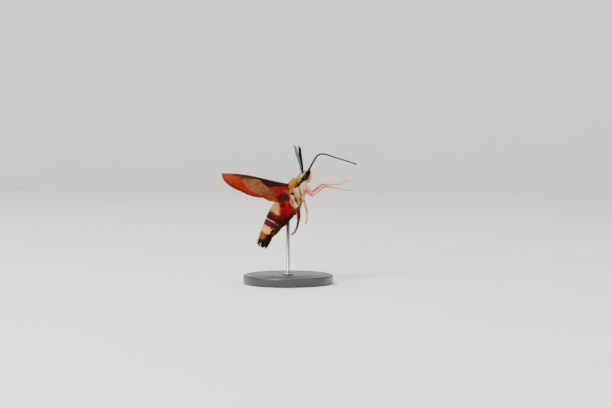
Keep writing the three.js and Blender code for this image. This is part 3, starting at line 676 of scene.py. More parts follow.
def abdomen_markings(places, coat):
    """Abdomen: red flanks, two cream patches, burgundy rings with dark edges, and a dark underside."""
    wander = 0.24 * rough(places, 0.9, 1) + 0.16 * rough(places, 0.3, 2)
    h = places[:, 0] + wander
    d = places[:, 2] + 0.26 * rough(places, 0.7, 3)
    straight = places[:, 0] + 0.3 * wander
    burgundy = near(h, -13.6, -7.9, 0.35) * smooth(-1.7, 0.4, d)
    # The flank is a rounded red patch; low and rear reach 1 at its lower and rear edges
    low = np.maximum(-0.6 - d, 0) / 2.2
    rear = np.maximum(-5.2 - h, 0) / (2.4 + 1.3 * smooth(-1.2, 0.8, d))
    flank = smooth(1.12, 0.9, (low**2.6 + rear**2.6) ** (1 / 2.6))
    # random darker tone over the flank, and painted shade that darkens it towards its lower and rear edges
    tone_and_edge_shade = smooth(0.0, 0.5, rough(places, (1.6, 1.6, 0.7), 19)) * 0.4
    tone_and_edge_shade = tone_and_edge_shade + smooth(0.4, 1.0, np.maximum(low, rear)) * 0.5
    # painted shade under the hindwing's root, where the wing lies along the body
    dark_lobe_and_shade = seen_spot(places, -4.8, 1.4, 1.2, 0.9) * smooth(1.8, 2.8, np.abs(places[:, 1]))
    above = d - 2.4 - 0.63 * (h + 5.0)
    cream = smooth(-0.35, 0.35, above) * smooth(-8.65, -8.1, h)
    ring = hump(straight + 11.25, 0.1) * (0.3 * smooth(-1.4, -0.6, d) + 0.6 * smooth(0.2, 1.6, d))
    fleck = smooth(0.7, 0.95, rough(places, 0.28, 7)) * smooth(-8.5, -9.5, h) * smooth(-0.6, 0.6, d)
    layers = (
        # burgundy rings and red flank, with painted shade at the flank's lower and rear edges and under the
        # wing root
        (coat.burgundy, burgundy),
        (coat.flank, 0.45 * burgundy * smooth(0.25, 0.6, rough(places, (0.5, 0.3, 0.3), 21))),
        (coat.flank, flank),
        (coat.burgundy, flank * tone_and_edge_shade),
        (coat.burgundy, 0.85 * dark_lobe_and_shade),
        # first cream patch, orange where it meets the flank and the wings
        (coat.cream, cream),
        (coat.orange, 0.85 * cream * smooth(0.9, 0.1, above)),
        (coat.orange, 0.8 * smooth(-4.9, -4.2, h) * smooth(1.5, 2.5, d)),
        # black rear edges of the rings and the white lines on them
        (coat.black, hump(h + 10.85, 0.24) * smooth(-1.8, -1.0, d)),
        (coat.black, hump(h + 13.35, 0.24) * smooth(-1.6, -0.8, d)),
        (coat.white, ring),
        (coat.white, 0.25 * hump(straight + 13.15, 0.08) * smooth(-1.6, -0.6, d)),
        # second cream patch and the orange root of the tail
        (coat.cream, near(h, -15.75, -13.55, 0.15) * smooth(-0.35, 0.15, d)),
        (coat.white, 0.15 * near(h, -15.6, -13.6, 0.2) * smooth(0.6, 1.4, d)),
        (coat.orange, 0.9 * smooth(-15.6, -15.95, h) * smooth(0.2, 0.9, d)),
        (coat.orange, 0.5 * smooth(-13.6, -14.6, h) * near(d, -1.6, 0.1, 0.4)),
        # spots and flecks
        (coat.tan, 0.3 * seen_spot(places, -8.5, -1.15, 0.34, 0.34)),
        (coat.tan, 0.5 * seen_spot(places, -11.7, -2.35, 0.3, 0.3)),
        (coat.black, seen_spot(places, -15.5, -0.75, 0.7, 0.7)),
        (coat.black, seen_spot(places, -16.6, 0.2, 0.5, 0.5)),
        (coat.black, seen_spot(places, -14.2, -0.5, 0.4, 0.4)),
        (coat.pale, 0.3 * fleck),
    )
    return layered(coat.belly, len(places), layers)


def body_markings(places, coat):
    """The coat's colour at each place: both sides carry the same bands and patches."""
    start = read_at(HIP, places[:, 2]) + 0.25 * rough(places, 0.5, 17)
    share = smooth(start + 0.2, start - 0.2, places[:, 0])[:, None]
    return front_markings(places, coat) * (1 - share) + abdomen_markings(places, coat) * share


def varied(shade, rng, light=0.14, hue=0.05):
    """Each lock a little lighter or darker, and warmer or cooler, than its neighbours."""
    n = len(shade)
    return shade * np.exp(rng.normal(0, light, (n, 1)) + rng.normal(0, hue, (n, 3)))


# Materials
def node(tree, kind, settings=None, links=None):
    """Adds a node with its settings, which are its properties or its sockets' values, and its links."""
    made = tree.nodes.new(kind)
    for key, value in (settings or {}).items():
        if isinstance(key, int) or key in made.inputs:
            made.inputs[key].default_value = value
        else:
            setattr(made, key, value)
    for key, source in (links or {}).items():
        tree.links.new(source, made.inputs[key])
    return made


def new_material(name):
    material = bpy.data.materials.new(name)
    material.use_nodes = True
    tree = material.node_tree
    tree.nodes.clear()
    output = node(tree, "ShaderNodeOutputMaterial")
    return material, tree, output


def shaded(rgb, factor):
    return tuple(min(c * factor, 1) for c in rgb)


def coat_material(name, roughness, sheen, fleck_mm, relief_mm):
    """Insect hair and scales: dry chitin, matte, with a soft sheen where it is seen at a grazing angle."""
    material, tree, output = new_material(name)
    place = node(tree, "ShaderNodeTexCoord").outputs["Object"]
    painted = node(tree, "ShaderNodeAttribute", {"attribute_name": "Coat"}).outputs["Color"]
    mottle = node(
        tree,
        "ShaderNodeTexNoise",
        {"Scale": 1 / (fleck_mm * MM), "Detail": 3, "Roughness": 0.6},
        {"Vector": place},
    ).outputs["Fac"]
    lightness = node(
        tree,
        "ShaderNodeMapRange",
        {"From Min": 0.3, "From Max": 0.7, "To Min": 0.78, "To Max": 1.18},
        {"Value": mottle},
    ).outputs["Result"]
    shade = node(
        tree,
        "ShaderNodeMix",
        {"data_type": "RGBA", "blend_type": "MULTIPLY", 0: 1.0},
        {6: painted, 7: lightness},
    ).outputs[2]
    rub = node(
        tree,
        "ShaderNodeMapRange",
        {"From Min": 0.3, "From Max": 0.7, "To Min": roughness - 0.08, "To Max": roughness + 0.1},
        {"Value": mottle},
    ).outputs["Result"]
    grain = node(
        tree,
        "ShaderNodeTexNoise",
        {"Scale": 1 / (relief_mm * MM), "Detail": 2, "Roughness": 0.5},
        {"Vector": place},
    ).outputs["Fac"]
    bump = node(
        tree, "ShaderNodeBump", {"Strength": 0.35, "Distance": relief_mm * MM * 0.4}, {"Height": grain}
    ).outputs["Normal"]
    shader = node(
        tree,
        "ShaderNodeBsdfPrincipled",
        {"IOR": 1.5, "Sheen Weight": sheen, "Sheen Roughness": 0.5, "Specular IOR Level": 0.06},
        {"Base Color": shade, "Roughness": rub, "Normal": bump},
    )
    tree.links.new(shader.outputs["BSDF"], output.inputs["Surface"])
    return material


def two_tone_material(name, rgb, tones, fleck_mm, relief_mm, settings, stretch=(1, 1, 1), strength=0.3):
    """A solid finish that drifts between two tones of a colour, with a fine relief and an uneven gloss."""
    dark, light = (shaded(rgb, tone) for tone in tones)
    material, tree, output = new_material(name)
    place = node(tree, "ShaderNodeTexCoord").outputs["Object"]
    stretched = node(tree, "ShaderNodeMapping", {"Scale": stretch}, {"Vector": place}).outputs["Vector"]
    drift = node(
        tree,
        "ShaderNodeTexNoise",
        {"Scale": 1 / (fleck_mm * MM), "Detail": 4, "Roughness": 0.6},
        {"Vector": stretched},
    ).outputs["Fac"]
    share = node(
        tree, "ShaderNodeMapRange", {"From Min": 0.35, "From Max": 0.65}, {"Value": drift}
    ).outputs["Result"]
    shade = node(
        tree, "ShaderNodeMix", {"data_type": "RGBA", 6: (*dark, 1), 7: (*light, 1)}, {0: share}
    ).outputs[2]
    settings = dict(settings)
    roughness = settings.pop("Roughness")
    gloss = node(
        tree,
        "ShaderNodeMapRange",
        {"From Min": 0.3, "From Max": 0.7, "To Min": roughness * 0.85, "To Max": roughness * 1.2},
        {"Value": drift},
    ).outputs["Result"]
    grain = node(
        tree, "ShaderNodeTexNoise", {"Scale": 1 / (relief_mm * MM), "Detail": 2}, {"Vector": stretched}
    ).outputs["Fac"]
    bump = node(
        tree, "ShaderNodeBump", {"Strength": strength, "Distance": relief_mm * MM * 0.3}, {"Height": grain}
    ).outputs["Normal"]
    shader = node(
        tree,
        "ShaderNodeBsdfPrincipled",
        settings,
        {"Base Color": shade, "Roughness": gloss, "Normal": bump},
    )
    tree.links.new(shader.outputs["BSDF"], output.inputs["Surface"])
    return material


def eye_material(rgb):
    """Compound eye: lacquer-smooth chitin in tiny facets, near black with a red-brown depth."""
    material, tree, output = new_material("faceted_eye_chitin")
    place = node(tree, "ShaderNodeTexCoord").outputs["Object"]
    facet_mm = 0.07  # 0.03 in life, drawn coarser so that it shows
    cells = node(
        tree,
        "ShaderNodeTexVoronoi",
        {"Scale": 1 / (facet_mm * MM), "Randomness": 0.25},
        {"Vector": place},
    ).outputs["Distance"]
    shade = node(
        tree,
        "ShaderNodeMix",
        {"data_type": "RGBA", 6: (*shaded(rgb, 1.8), 1), 7: (*shaded(rgb, 0.5), 1)},
        {0: cells},
    ).outputs[2]
    gloss = node(
        tree, "ShaderNodeMapRange", {"To Min": 0.28, "To Max": 0.45}, {"Value": cells}
    ).outputs["Result"]
    bump = node(
        tree, "ShaderNodeBump", {"Strength": 0.25, "Distance": 0.02 * MM, "invert": True}, {"Height": cells}
    ).outputs["Normal"]
    shader = node(
        tree,
        "ShaderNodeBsdfPrincipled",
        {"IOR": 1.56, "Specular IOR Level": 0.08, "Coat Weight": 0.16, "Coat Roughness": 0.05},
        {"Base Color": shade, "Roughness": gloss, "Normal": bump},
    )
    tree.links.new(shader.outputs["BSDF"], output.inputs["Surface"])
    return material


# Pieces
PALP = {"path": [(5.75, 0.72, -2.3), (7.6, 0.75, -2.1), (9.55, 0.42, -1.1)], "wide": 0.42, "thick": 0.36}
TEGULA = {"path": [(4.7, 1.5, 1.3), (3.3, 3.1, 1.75), (1.6, 3.65, 1.7)], "wide": 0.85, "thick": 0.3}
FLAPS = ["palp_left", "palp_right", "tegula_left", "tegula_right"]
SIDES = {"left": 1, "right": -1}


def flap_surface(flap, side):
    """A palp or a shoulder flap: a flattened pad along its path."""
    path = densely(np.array(flap["path"]) * [1, side, 1])

    def radius(share, turn):
        closed = ends_closed(share, 0.4)
        return flap["wide"] * closed, flap["thick"] * closed

    return limb_surface(path, radius, np.array([-0.4, side * -0.3, 1.0]))


def skin_surfaces():
    """Each part of the skin: name, surface, and its faces round it and along it."""
    yield "body", body_surface, 96, 260
    for side_name, side in SIDES.items():
        yield "palp_" + side_name, flap_surface(PALP, side), 16, 20
        yield "tegula_" + side_name, flap_surface(TEGULA, side), 20, 24


def unwrap_tile(name, share, turn):
    """The place of a root on the skin's unwrap: the body fills most of it and each flap has a corner."""
    u, v = turn / (2 * np.pi) + 0.5, 1 - share
    if name == "body":
        return np.stack([u, 0.2 + 0.8 * v], -1)
    return np.stack([0.25 * (FLAPS.index(name) + 0.05 + 0.9 * u), 0.01 + 0.17 * v], -1)


class MOTH_OT_skin(bpy.types.Operator):
    """Makes the one skin of head, thorax, abdomen, palps and shoulder flaps, and the eyes"""

    bl_idname = "moth.skin"
    bl_label = "Skin and eyes"

    def execute(self, context):
        coat, limbs = context.scene.moth_coat, context.scene.moth_limbs

        def paint(places, share):
            in_shade = 0.6  # between the roots of the hair
            return body_markings(places, coat) * in_shade

        bm = bmesh.new()
        bm.loops.layers.uv.new("OFBake")
        for _, surface, sides, rings in skin_surfaces():
            stretch_sphere(bm, surface, sides, rings, paint)
        # Underfur: dense short down, duller than the hair over it
        down = coat_material("velvet_underfur", 0.85, 0.05, 0.5, 0.12)
        replaced = ["head", "thorax", "abdomen", *FLAPS]
        add_piece("moth_skin", mesh_of(bm, "moth_skin"), down, "olive_fur", replaced)
        glossy = eye_material(limbs.eye)
        for side_name, side in SIDES.items():
            bm = bmesh.new()
            stretch_sphere(bm, eye_surface(side), 48, 32)
            add_piece("compound_eye_" + side_name, mesh_of(bm, "eye"), glossy, "eye", ["eye_" + side_name])
        return {"FINISHED"}


def eye_surface(side):
    """An oval ball with a slightly flattened rim towards the head."""

    def surface(share, turn):
        around, out = np.sin(np.pi * share), np.cos(np.pi * share)
        bulge = np.where(out > 0, 1.0, 0.8)
        return np.stack(
            [
                EYE["x"] + EYE["long"] * around * np.cos(turn),
                side * (EYE["y"] + EYE["wide"] * out * bulge),
                EYE["z"] + EYE["high"] * around * np.sin(turn) + 0.1 * around * np.cos(turn),
            ],
            -1,
        )

    return surface


def clear_of_eyes(places):
    """0 over the eyes and 1 elsewhere."""
    reach = np.stack(
        [
            (places[:, 0] - EYE["x"]) / (EYE["long"] * 0.92),
            (np.abs(places[:, 1]) - EYE["y"] - 0.35) / (EYE["wide"] * 1.2),
            (places[:, 2] - EYE["z"]) / (EYE["high"] * 0.92),
        ],
        -1,
    )
    return (np.linalg.norm(reach, axis=1) > 1).astype(float)


def hair_sizes(name, places, coat):
    """Length, width and lean from the skin of the coat's tufts at each place."""
    x, d = places[:, 0], places[:, 2]
    thorax, head, scale = coat.thorax_hair / MM, coat.head_hair / MM, coat.scale / MM
    behind = (WAIST_X - x) / SEGMENT
    in_ring = behind - np.floor(behind)
    is_head, is_abdomen = smooth(4.9, 6.2, x), smooth(-3.6, -4.8, x)
    under = smooth(0.8, -1.4, d)
    long = thorax * (1 + 0.3 * under + 0.6 * under * smooth(2.5, -2.0, x))
    long = lerp(long, head * (1 - 0.35 * smooth(8, 9.2, x)), is_head)
    long = long * lerp(1, 0.6, smooth(6.5, 7.5, x) * smooth(-1.0, -1.4, d))
    fringe = smooth(0.7, 0.95, in_ring)
    long = lerp(long, scale * (1 + 0.4 * fringe), is_abdomen)
    width = lerp(TUFT_WIDTH["thorax"], TUFT_WIDTH["head"], is_head)
    width = lerp(width, TUFT_WIDTH["abdomen"], is_abdomen)
    lean = lerp(lerp(0.3 - 0.08 * under, 0.42, is_head), 0.1 + 0.2 * fringe, is_abdomen)
    if name.startswith("tegula"):
        long, lean = 0.7 * long, 0.45 * lean
    return long, width, lean


def lie_of_coat(name, place, normal, along, rng):
    """The way that the hair lies on the skin: backwards, and down over the sides of the thorax."""
    n = len(place)
    stray = rng.normal(0, 0.13, (n, 3))
    if name.startswith("palp"):
        way = along + stray
    elif name.startswith("tegula"):
        way = np.array([-1.0, 0, -0.15]) + stray
    else:
        x, d = place[:, 0], place[:, 2]
        hang = 1.15 * smooth(1.2, -1.2, d) * smooth(6.0, 3.0, x) * smooth(-4.8, -3.6, x)
        down = unit(np.array([0, 0, -1.0]) + normal * normal[:, 2:])
        way = along + hang[:, None] * down + stray
    return unit(way - normal * (way * normal).sum(1)[:, None])


def between_places(rear, front, low, high):
    """Keeps the roots of one stretch of the body, from rear to front and from low to high."""

    def keep(places):
        return near(places[:, 0], rear, front, 0.3) * (places[:, 2] > low) * (places[:, 2] <= high)

    return keep


def body_coat(name, surface, count, coat, rng, keep=None):
    """The hair or scales of one stretch of the skin, as arrays for grow()."""
    place, normal, along, share, turn = roots_on(surface, count, rng, keep)
    long, width, lean = hair_sizes(name, place, coat)
    n = len(place)
    is_abdomen = smooth(-3.6, -4.8, place[:, 0])
    way = lie_of_coat(name, place, normal, along, rng)
    pull, clump = clump_pull(place, n // 16, rng)
    tone = rng.normal(0, 1, n)[clump]
    long = long * rng.normal(1, 0.16, n).clip(0.5, 1.5) * (1 + 0.1 * tone).clip(0.7, 1.3)
    lean = (lean + rng.normal(0, 0.07, n)).clip(0.03, 0.9)
    long, lean = long[:, None], lean[:, None]
    half_way = long * 0.55 * (way * np.cos(lean) + normal * np.sin(lean) * 1.2)
    gather = (0.6 * (1 - 0.7 * is_abdomen))[:, None] * pull
    end = long * (way * np.cos(lean * 0.7) + normal * np.sin(lean * 0.7) * 0.8) + gather
    shade = varied(body_markings(place + 0.35 * end, coat), rng)
    shade = shade * np.exp(lerp(0.2, 0.12, is_abdomen) * tone)[:, None]
    return {
        "root": place - normal * 0.08,
        "bend": place + half_way,
        "tip": place + end,
        "upright": normal,
        "width": width * rng.normal(1, 0.15, n).clip(0.6, 1.4),
        "thick": lerp(0.045, 0.03, is_abdomen),
        "shade": shade,
        "patch": unwrap_tile(name, share, turn),
    }


def joined(parts):
    return {key: np.concatenate([part[key] for part in parts]) for key in parts[0]}


class MOTH_OT_coat(bpy.types.Operator):
    """Covers the skin with hair on the head and thorax and with flat scales on the abdomen"""

    bl_idname = "moth.coat"
    bl_label = "Coat"

    def execute(self, context):
        coat = context.scene.moth_coat
        rng = np.random.default_rng(11)
        # Hair: long thin scales, dry and matte
        hair = coat_material("scale_hair_matte", 0.75, 0.04, 0.35, 0.05)
        # Flat scales: smoother than hair, so a little satin
        flat = coat_material("abdomen_scales_satin", 0.65, 0.03, 0.4, 0.06)
        # Each stretch: its name, tufts, ends (rear, front, low, high; -18 and 9 are past the body),
        # finish and slot
        thorax, abdomen = coat.thorax_count // 4, coat.abdomen_count // 2
        stretches = (
            ("thorax_hair_back", thorax, (0.4, 5.7, 0.3, 9), hair, "olive_fur"),
            ("thorax_hair_shoulder", thorax, (-4.5, 0.4, 0.3, 9), hair, "olive_fur"),
            ("thorax_hair_breast", thorax, (0.4, 5.7, -9, 0.3), hair, "pale_fur"),
            ("thorax_hair_hip", thorax, (-4.5, 0.4, -9, 0.3), hair, "pale_fur"),
            ("abdomen_scales_back", abdomen, (-18, -4.2, 0, 9), flat, "maroon_fur"),
            ("abdomen_scales_belly", abdomen, (-18, -4.2, -9, 0), flat, "maroon_fur"),
        )
        for name, count, ends, material, slot in stretches:
            locks = body_coat("body", body_surface, count, coat, rng, between_places(*ends))
            add_piece(name, grow(name, **locks), material, slot)

        def keep_head(places):
            return smooth(5.1, 5.7, places[:, 0]) * clear_of_eyes(places)

        head = [body_coat("body", body_surface, coat.head_count, coat, rng, keep_head)]
        for part, surface, _, _ in skin_surfaces():
            if part != "body":
                head.append(body_coat(part, surface, coat.flap_count, coat, rng))
        add_piece("head_hair", grow("head_hair", **joined(head)), hair, "olive_fur")
        return {"FINISHED"}


class MOTH_OT_tail(bpy.types.Operator):
    """Makes the fan of long scales behind the abdomen"""

    bl_idname = "moth.tail"
    bl_label = "Tail fan"

    def execute(self, context):
        coat = context.scene.moth_coat
        rng = np.random.default_rng(23)
        n = coat.tail_count

        def keep(places):
            return smooth(-15.4, -16.4, places[:, 0])

        place, normal, _, share, turn = roots_on(body_surface, n, rng, keep)
        prongs = 11  # of the fan, each a bunch of scales
        prong = np.round(turn / (2 * np.pi) * prongs).astype(int) % prongs
        angle = (prong + 0.25 * np.sin(prong * 2.3)) * 2 * np.pi / prongs
        inner = (rng.random(n) < 0.28).astype(float)
        full = coat.tail_scale / MM * (1 + 0.12 * np.sin(prong * 1.9 + 0.6)) * lerp(1, 1.1, inner)
        spread = lerp(2.3, 0.9, inner)
        across, up = np.cos(angle), np.sin(angle)
        aim = np.stack([TAIL_X - 0.4 - full, spread * across, 0.15 + 0.85 * spread * up - 0.08 * full], -1)
        reach = 1 - 0.55 * rng.random(n) ** 1.6
        tipped = rng.random(n) < 0.12  # short pale scales at the prongs' ends
        tip = lerp(place, aim, np.where(tipped, 1.0, reach)[:, None]) + rng.normal(0, 0.1, (n, 3))
        place = np.where(tipped[:, None], lerp(place, aim, 0.62), place)
        arch = (0.25 + 0.12 * rng.random((n, 1))) * ~tipped[:, None]
        bend = place + (tip - place) * 0.5 + normal * arch
        orange = smooth(0.0, 0.3, up) * (rng.random(n) < 0.85) * smooth(0.95, 0.6, reach + 0.2 * inner)
        layers = (
            (coat.orange, orange),
            (coat.umber, 0.75 * (up <= 0.3) * (rng.random(n) < 0.35)),
            (coat.white, (up > 0.9) * smooth(0.45, 0.8, reach)),
            (coat.white, 0.85 * tipped * (np.sin(prong * 2.9) > -0.6)),
        )
        shade = layered(coat.tail_dark, n, layers)
        locks = {
            "root": place - normal * 0.1,
            "bend": bend,
            "tip": tip,
            "upright": normal,
            "width": rng.uniform(0.13, 0.22, n),
            "thick": np.full(n, 0.04),
            "shade": varied(shade, rng, 0.2),
            "patch": unwrap_tile("body", share, turn),
        }
        # Tail scales: long and flat, a little satin
        flat = coat_material("tail_scales_satin", 0.6, 0.03, 0.4, 0.06)
        mesh = grow("tail_fan", **locks, stations=(0, 0.35, 0.7))
        add_piece("tail_fan", mesh, flat, "tail_scales", ["tail_tuft"])
        return {"FINISHED"}


# Antennae and tongue
ANTENNA_JOINTS = 56
TONGUE_RIDGES = 110


def from_middle(surface, places, share):
    """The way from a limb's middle line out to each place on its surface."""
    zero = np.zeros_like(share)
    return places - (surface(share, zero) + surface(share, zero + np.pi)) / 2


def antenna_surface(side):
    path = densely(
        [
            level(3.35, side * 0.75, 5.9),
            level(3.0, side * 1.9, 9.2),
            level(2.1, side * 3.7, 12.9),
            level(1.5, side * 5.1, 15.6),
            level(1.05, side * 5.35, 16.1),
        ]
    )
    thickness = [
        [0, 0.38],
        [0.05, 0.4],
        [0.09, 0.31],
        [0.35, 0.38],
        [0.7, 0.5],
        [0.88, 0.44],
        [0.95, 0.22],
        [1, 0.07],
    ]

    def radius(share, turn):
        size = between(thickness, share)[:, 0] * ends_closed(share, 0.012)
        step = (share * ANTENNA_JOINTS) % 1
        size = size * (1 + 0.045 * smooth(0.1, 0.8, step) - 0.045 * smooth(0.8, 1.0, step))
        return size, size * 0.88

    return limb_surface(path, radius, np.array([0.0, 1.0, 0.0]))


def tongue_surface():
    path = densely(
        [
            level(5.0, 0, 6.9),
            level(7.0, 0, 10.5),
            level(8.5, 0, 12.65),
            level(10.3, 0, 13.15),
            level(14.4, 0, 11.95),
            level(18, 0, 10.85),
            level(21.8, 0, 9.6),
        ]
    )

    def radius(share, turn):
        size = lerp(0.36, 0.25, np.minimum(share * 1.6, 1)) * ends_closed(share, 0.008)
        groove = 1 - 0.22 * np.abs(np.sin(turn)) ** 8
        ring = 1 + 0.025 * np.cos(2 * np.pi * TONGUE_RIDGES * share)
        return size * ring, size * groove * ring

    return limb_surface(path, radius, np.array([0.0, 1.0, 0.0]))


class MOTH_OT_feelers(bpy.types.Operator):
    """Makes the ringed, clubbed antennae and the two-part tongue"""

    bl_idname = "moth.feelers"
    bl_label = "Antennae and tongue"

    def execute(self, context):
        limbs = context.scene.moth_limbs
        # Antenna: chitin under fine scales, satin and near black, with a painted grey sheen along the inner
        # side
        scaled = coat_material("antenna_scales_satin", 0.55, 0.05, 0.4, 0.05)
        for side_name, side in SIDES.items():
            surface = antenna_surface(side)

            def paint(places, share):
                inwards = -side * from_middle(surface, places, share)[:, 1] / 0.4
                # painted sheen along the inner side
                painted_sheen = 0.85 * smooth(0.35, 0.85, inwards)
                return layered(shaded(limbs.feeler, 1.6), len(share), [(limbs.painted_feeler_sheen, painted_sheen)])

            bm = bmesh.new()
            stretch_sphere(bm, surface, 18, 336, paint)
            name = "feeler_" + side_name
            add_piece(name, mesh_of(bm, name), scaled, "dark_shell", ["antenna_" + side_name])
        # Tongue: bare ringed chitin, smoother and browner than the antennae
        bare = two_tone_material(
            "tongue_chitin_bare",
            limbs.tongue,
            (0.6, 1.9),
            1.2,
            0.06,
            {"Roughness": 0.5, "IOR": 1.56, "Specular IOR Level": 0.12},
        )
        bm = bmesh.new()
        stretch_sphere(bm, tongue_surface(), 14, 660)
        nodes = ["proboscis_root", "proboscis_middle", "proboscis_tip"]
        add_piece("tongue", mesh_of(bm, "tongue"), bare, "dark_shell", nodes)
        return {"FINISHED"}


# Legs: share of the usual thickness for the whole leg and for its thigh, and pairs of spurs on the shin
LEG_SIZES = {
    "front": {"stout": 1.0, "thigh": 1.3, "spurs": 0},
    "mid": {"stout": 1.0, "thigh": 1.0, "spurs": 1},
    "hind": {"stout": 1.45, "thigh": 0.9, "spurs": 2},
}
# Root, knee, ankle and the bends of the foot, level with the floor: forwards, outwards and up
LEG_JOINTS = {
    "front_right": [
        (3.9, 1.3, 2.2),
        (6.25, 2.5, -0.6),
        (10.3, 2.3, 2.5),
        (13.1, 2.1, 2.1),
        (16.2, 2.0, 1.5),
        (19.5, 1.9, 1.0),
    ],
    "front_left": [
        (3.9, 1.3, 2.7),
        (6.7, 2.5, 0.05),
        (10.45, 2.3, 2.95),
        (12.9, 2.1, 2.75),
        (16.4, 2.0, 3.0),
        (19.0, 1.9, 4.3),
    ],
    "mid_right": [
        (2.2, 2.2, -0.2),
        (3.5, 3.2, -2.3),
        (4.25, 3.4, -5.5),
        (4.4, 3.4, -7.0),
        (4.35, 3.3, -8.6),
        (3.8, 3.1, -10.1),
    ],
    "mid_left": [
        (1.8, 2.4, -0.9),
        (2.3, 4.1, -3.6),
        (1.2, 4.95, -6.6),
        (0.4, 5.05, -8.2),
        (-0.7, 4.95, -9.8),
        (-2.0, 4.7, -11.2),
    ],
    "hind_right": [
        (-0.4, 2.9, -2.4),
        (1.55, 4.35, -5.1),
        (1.4, 4.3, -8.7),
        (0.95, 4.2, -10.9),
        (0.2, 4.0, -12.6),
        (-1.0, 3.7, -13.4),
    ],
    "hind_left": [
        (-1.4, 2.9, -2.6),
        (-0.6, 5.0, -5.4),
        (-2.0, 5.1, -8.9),
        (-2.9, 4.9, -10.7),
        (-3.9, 4.5, -12.4),
        (-5.0, 4.1, -13.7),
    ],
}


def leg_parts(name):
    """The limb's surface, the share of its length at knee and ankle, and the small spurs and claws."""
    pair_name, side_name = name.split("_")
    leg = LEG_SIZES[pair_name]
    joints = [level(f, SIDES[side_name] * out, up) for f, out, up in LEG_JOINTS[name]]
    path = jointed(joints)
    lengths = path_length(path)
    total = lengths[-1]
    knee, ankle = (lengths[np.linalg.norm(path - joints[i], axis=1).argmin()] / total for i in (1, 2))
    sizes = [
        [0, 0.5 * leg["thigh"]],
        [knee * 0.45, 0.56 * leg["thigh"]],
        [knee * 0.85, 0.46 * leg["thigh"]],
        [knee, 0.36],
        [lerp(knee, ankle, 0.12), 0.34],
        [lerp(knee, ankle, 0.6), 0.44],
        [lerp(knee, ankle, 0.94), 0.36],
        [ankle, 0.29],
        [lerp(ankle, 1, 0.1), 0.28],
        [lerp(ankle, 1, 0.9), 0.21],
        [1, 0.16],
    ]

    def radius(share, turn):
        size = leg["stout"] * between(sizes, share)[:, 0] * ends_closed(share, 0.02)
        step = np.clip((share - ankle) / (1 - ankle), 0, 0.999) * 5 % 1
        swell = 1 + (share > ankle) * (0.24 * smooth(0.3, 0.9, step) - 0.16 * smooth(0.9, 1.0, step))
        return size * swell, size * swell

    upright = np.array([0.0, 1.0, 0.0])
    surface = limb_surface(path, radius, upright)
    extras = []

    def thorn(start, way, long, thick, curl):
        middle = start + way * long * 0.55
        points = [start, middle, start + way * long + curl]

        def radius(share, turn):
            size = thick * (1 - share**1.5) * ends_closed(share, 0.1)
            return size, size

        extras.append(limb_surface(densely(points, 8), radius, upright))

    shin = unit(joints[2] - joints[1])
    sideways = unit(np.cross(shin, upright))
    for pair in range(leg["spurs"]):
        for way in (1, -1):
            start = joints[2] - shin * (0.35 + 1.25 * pair)
            long = 1.15 if way > 0 else 0.85
            thorn(start, unit(shin * 0.75 + sideways * way * 0.5), long, 0.1, shin * 0.05)
    toe = unit(path[-1] - path[-8])
    across = unit(np.cross(toe, upright))
    for way in (1, -1):
        hook = unit(toe * 0.8 + across * 0.25 + np.array([0, way * 0.55, 0]))
        thorn(path[-1] - toe * 0.15, hook, 0.5, 0.07, -across * 0.2)
    return surface, knee, ankle, extras


def leg_markings(name, share, above, knee, ankle, places, limbs, thigh):
    """The leg's colours; above is 1 along its upper side and -1 along its underside."""
    s = share + 0.02 * rough(places, 0.6, 8)
    if name.startswith("hind"):
        layers = (
            (limbs.hind_foot, smooth(ankle + 0.1, 1, s)),
            (thigh, smooth(knee * 0.8, knee * 0.6, s)),
            (limbs.hind_foot, 0.2 * smooth(0.35, 0.7, rough(places, 0.5, 9))),
        )
        return layered(limbs.hind, len(share), layers)
    dusky_thigh = 0.35 * name.startswith("front")
    layers = (
        (limbs.dark_joint_and_shade, 0.8 * hump(s - knee, 0.022)),
        (limbs.dark_joint_and_shade, 0.8 * hump(s - ankle, 0.022)),
        (limbs.dark_joint_and_shade, dusky_thigh * smooth(knee, knee * 0.85, s)),
        # painted highlight along the upper side and painted shade along the underside
        (limbs.painted_leg_highlight, 0.45 * smooth(0.1, 0.9, above)),
        (limbs.dark_joint_and_shade, 0.4 * smooth(0.0, -0.8, above)),
        (limbs.dark_joint_and_shade, 0.35 * smooth(0.1, 0.7, rough(places, 0.7, 9))),
    )
    return layered(limbs.pale, len(share), layers)


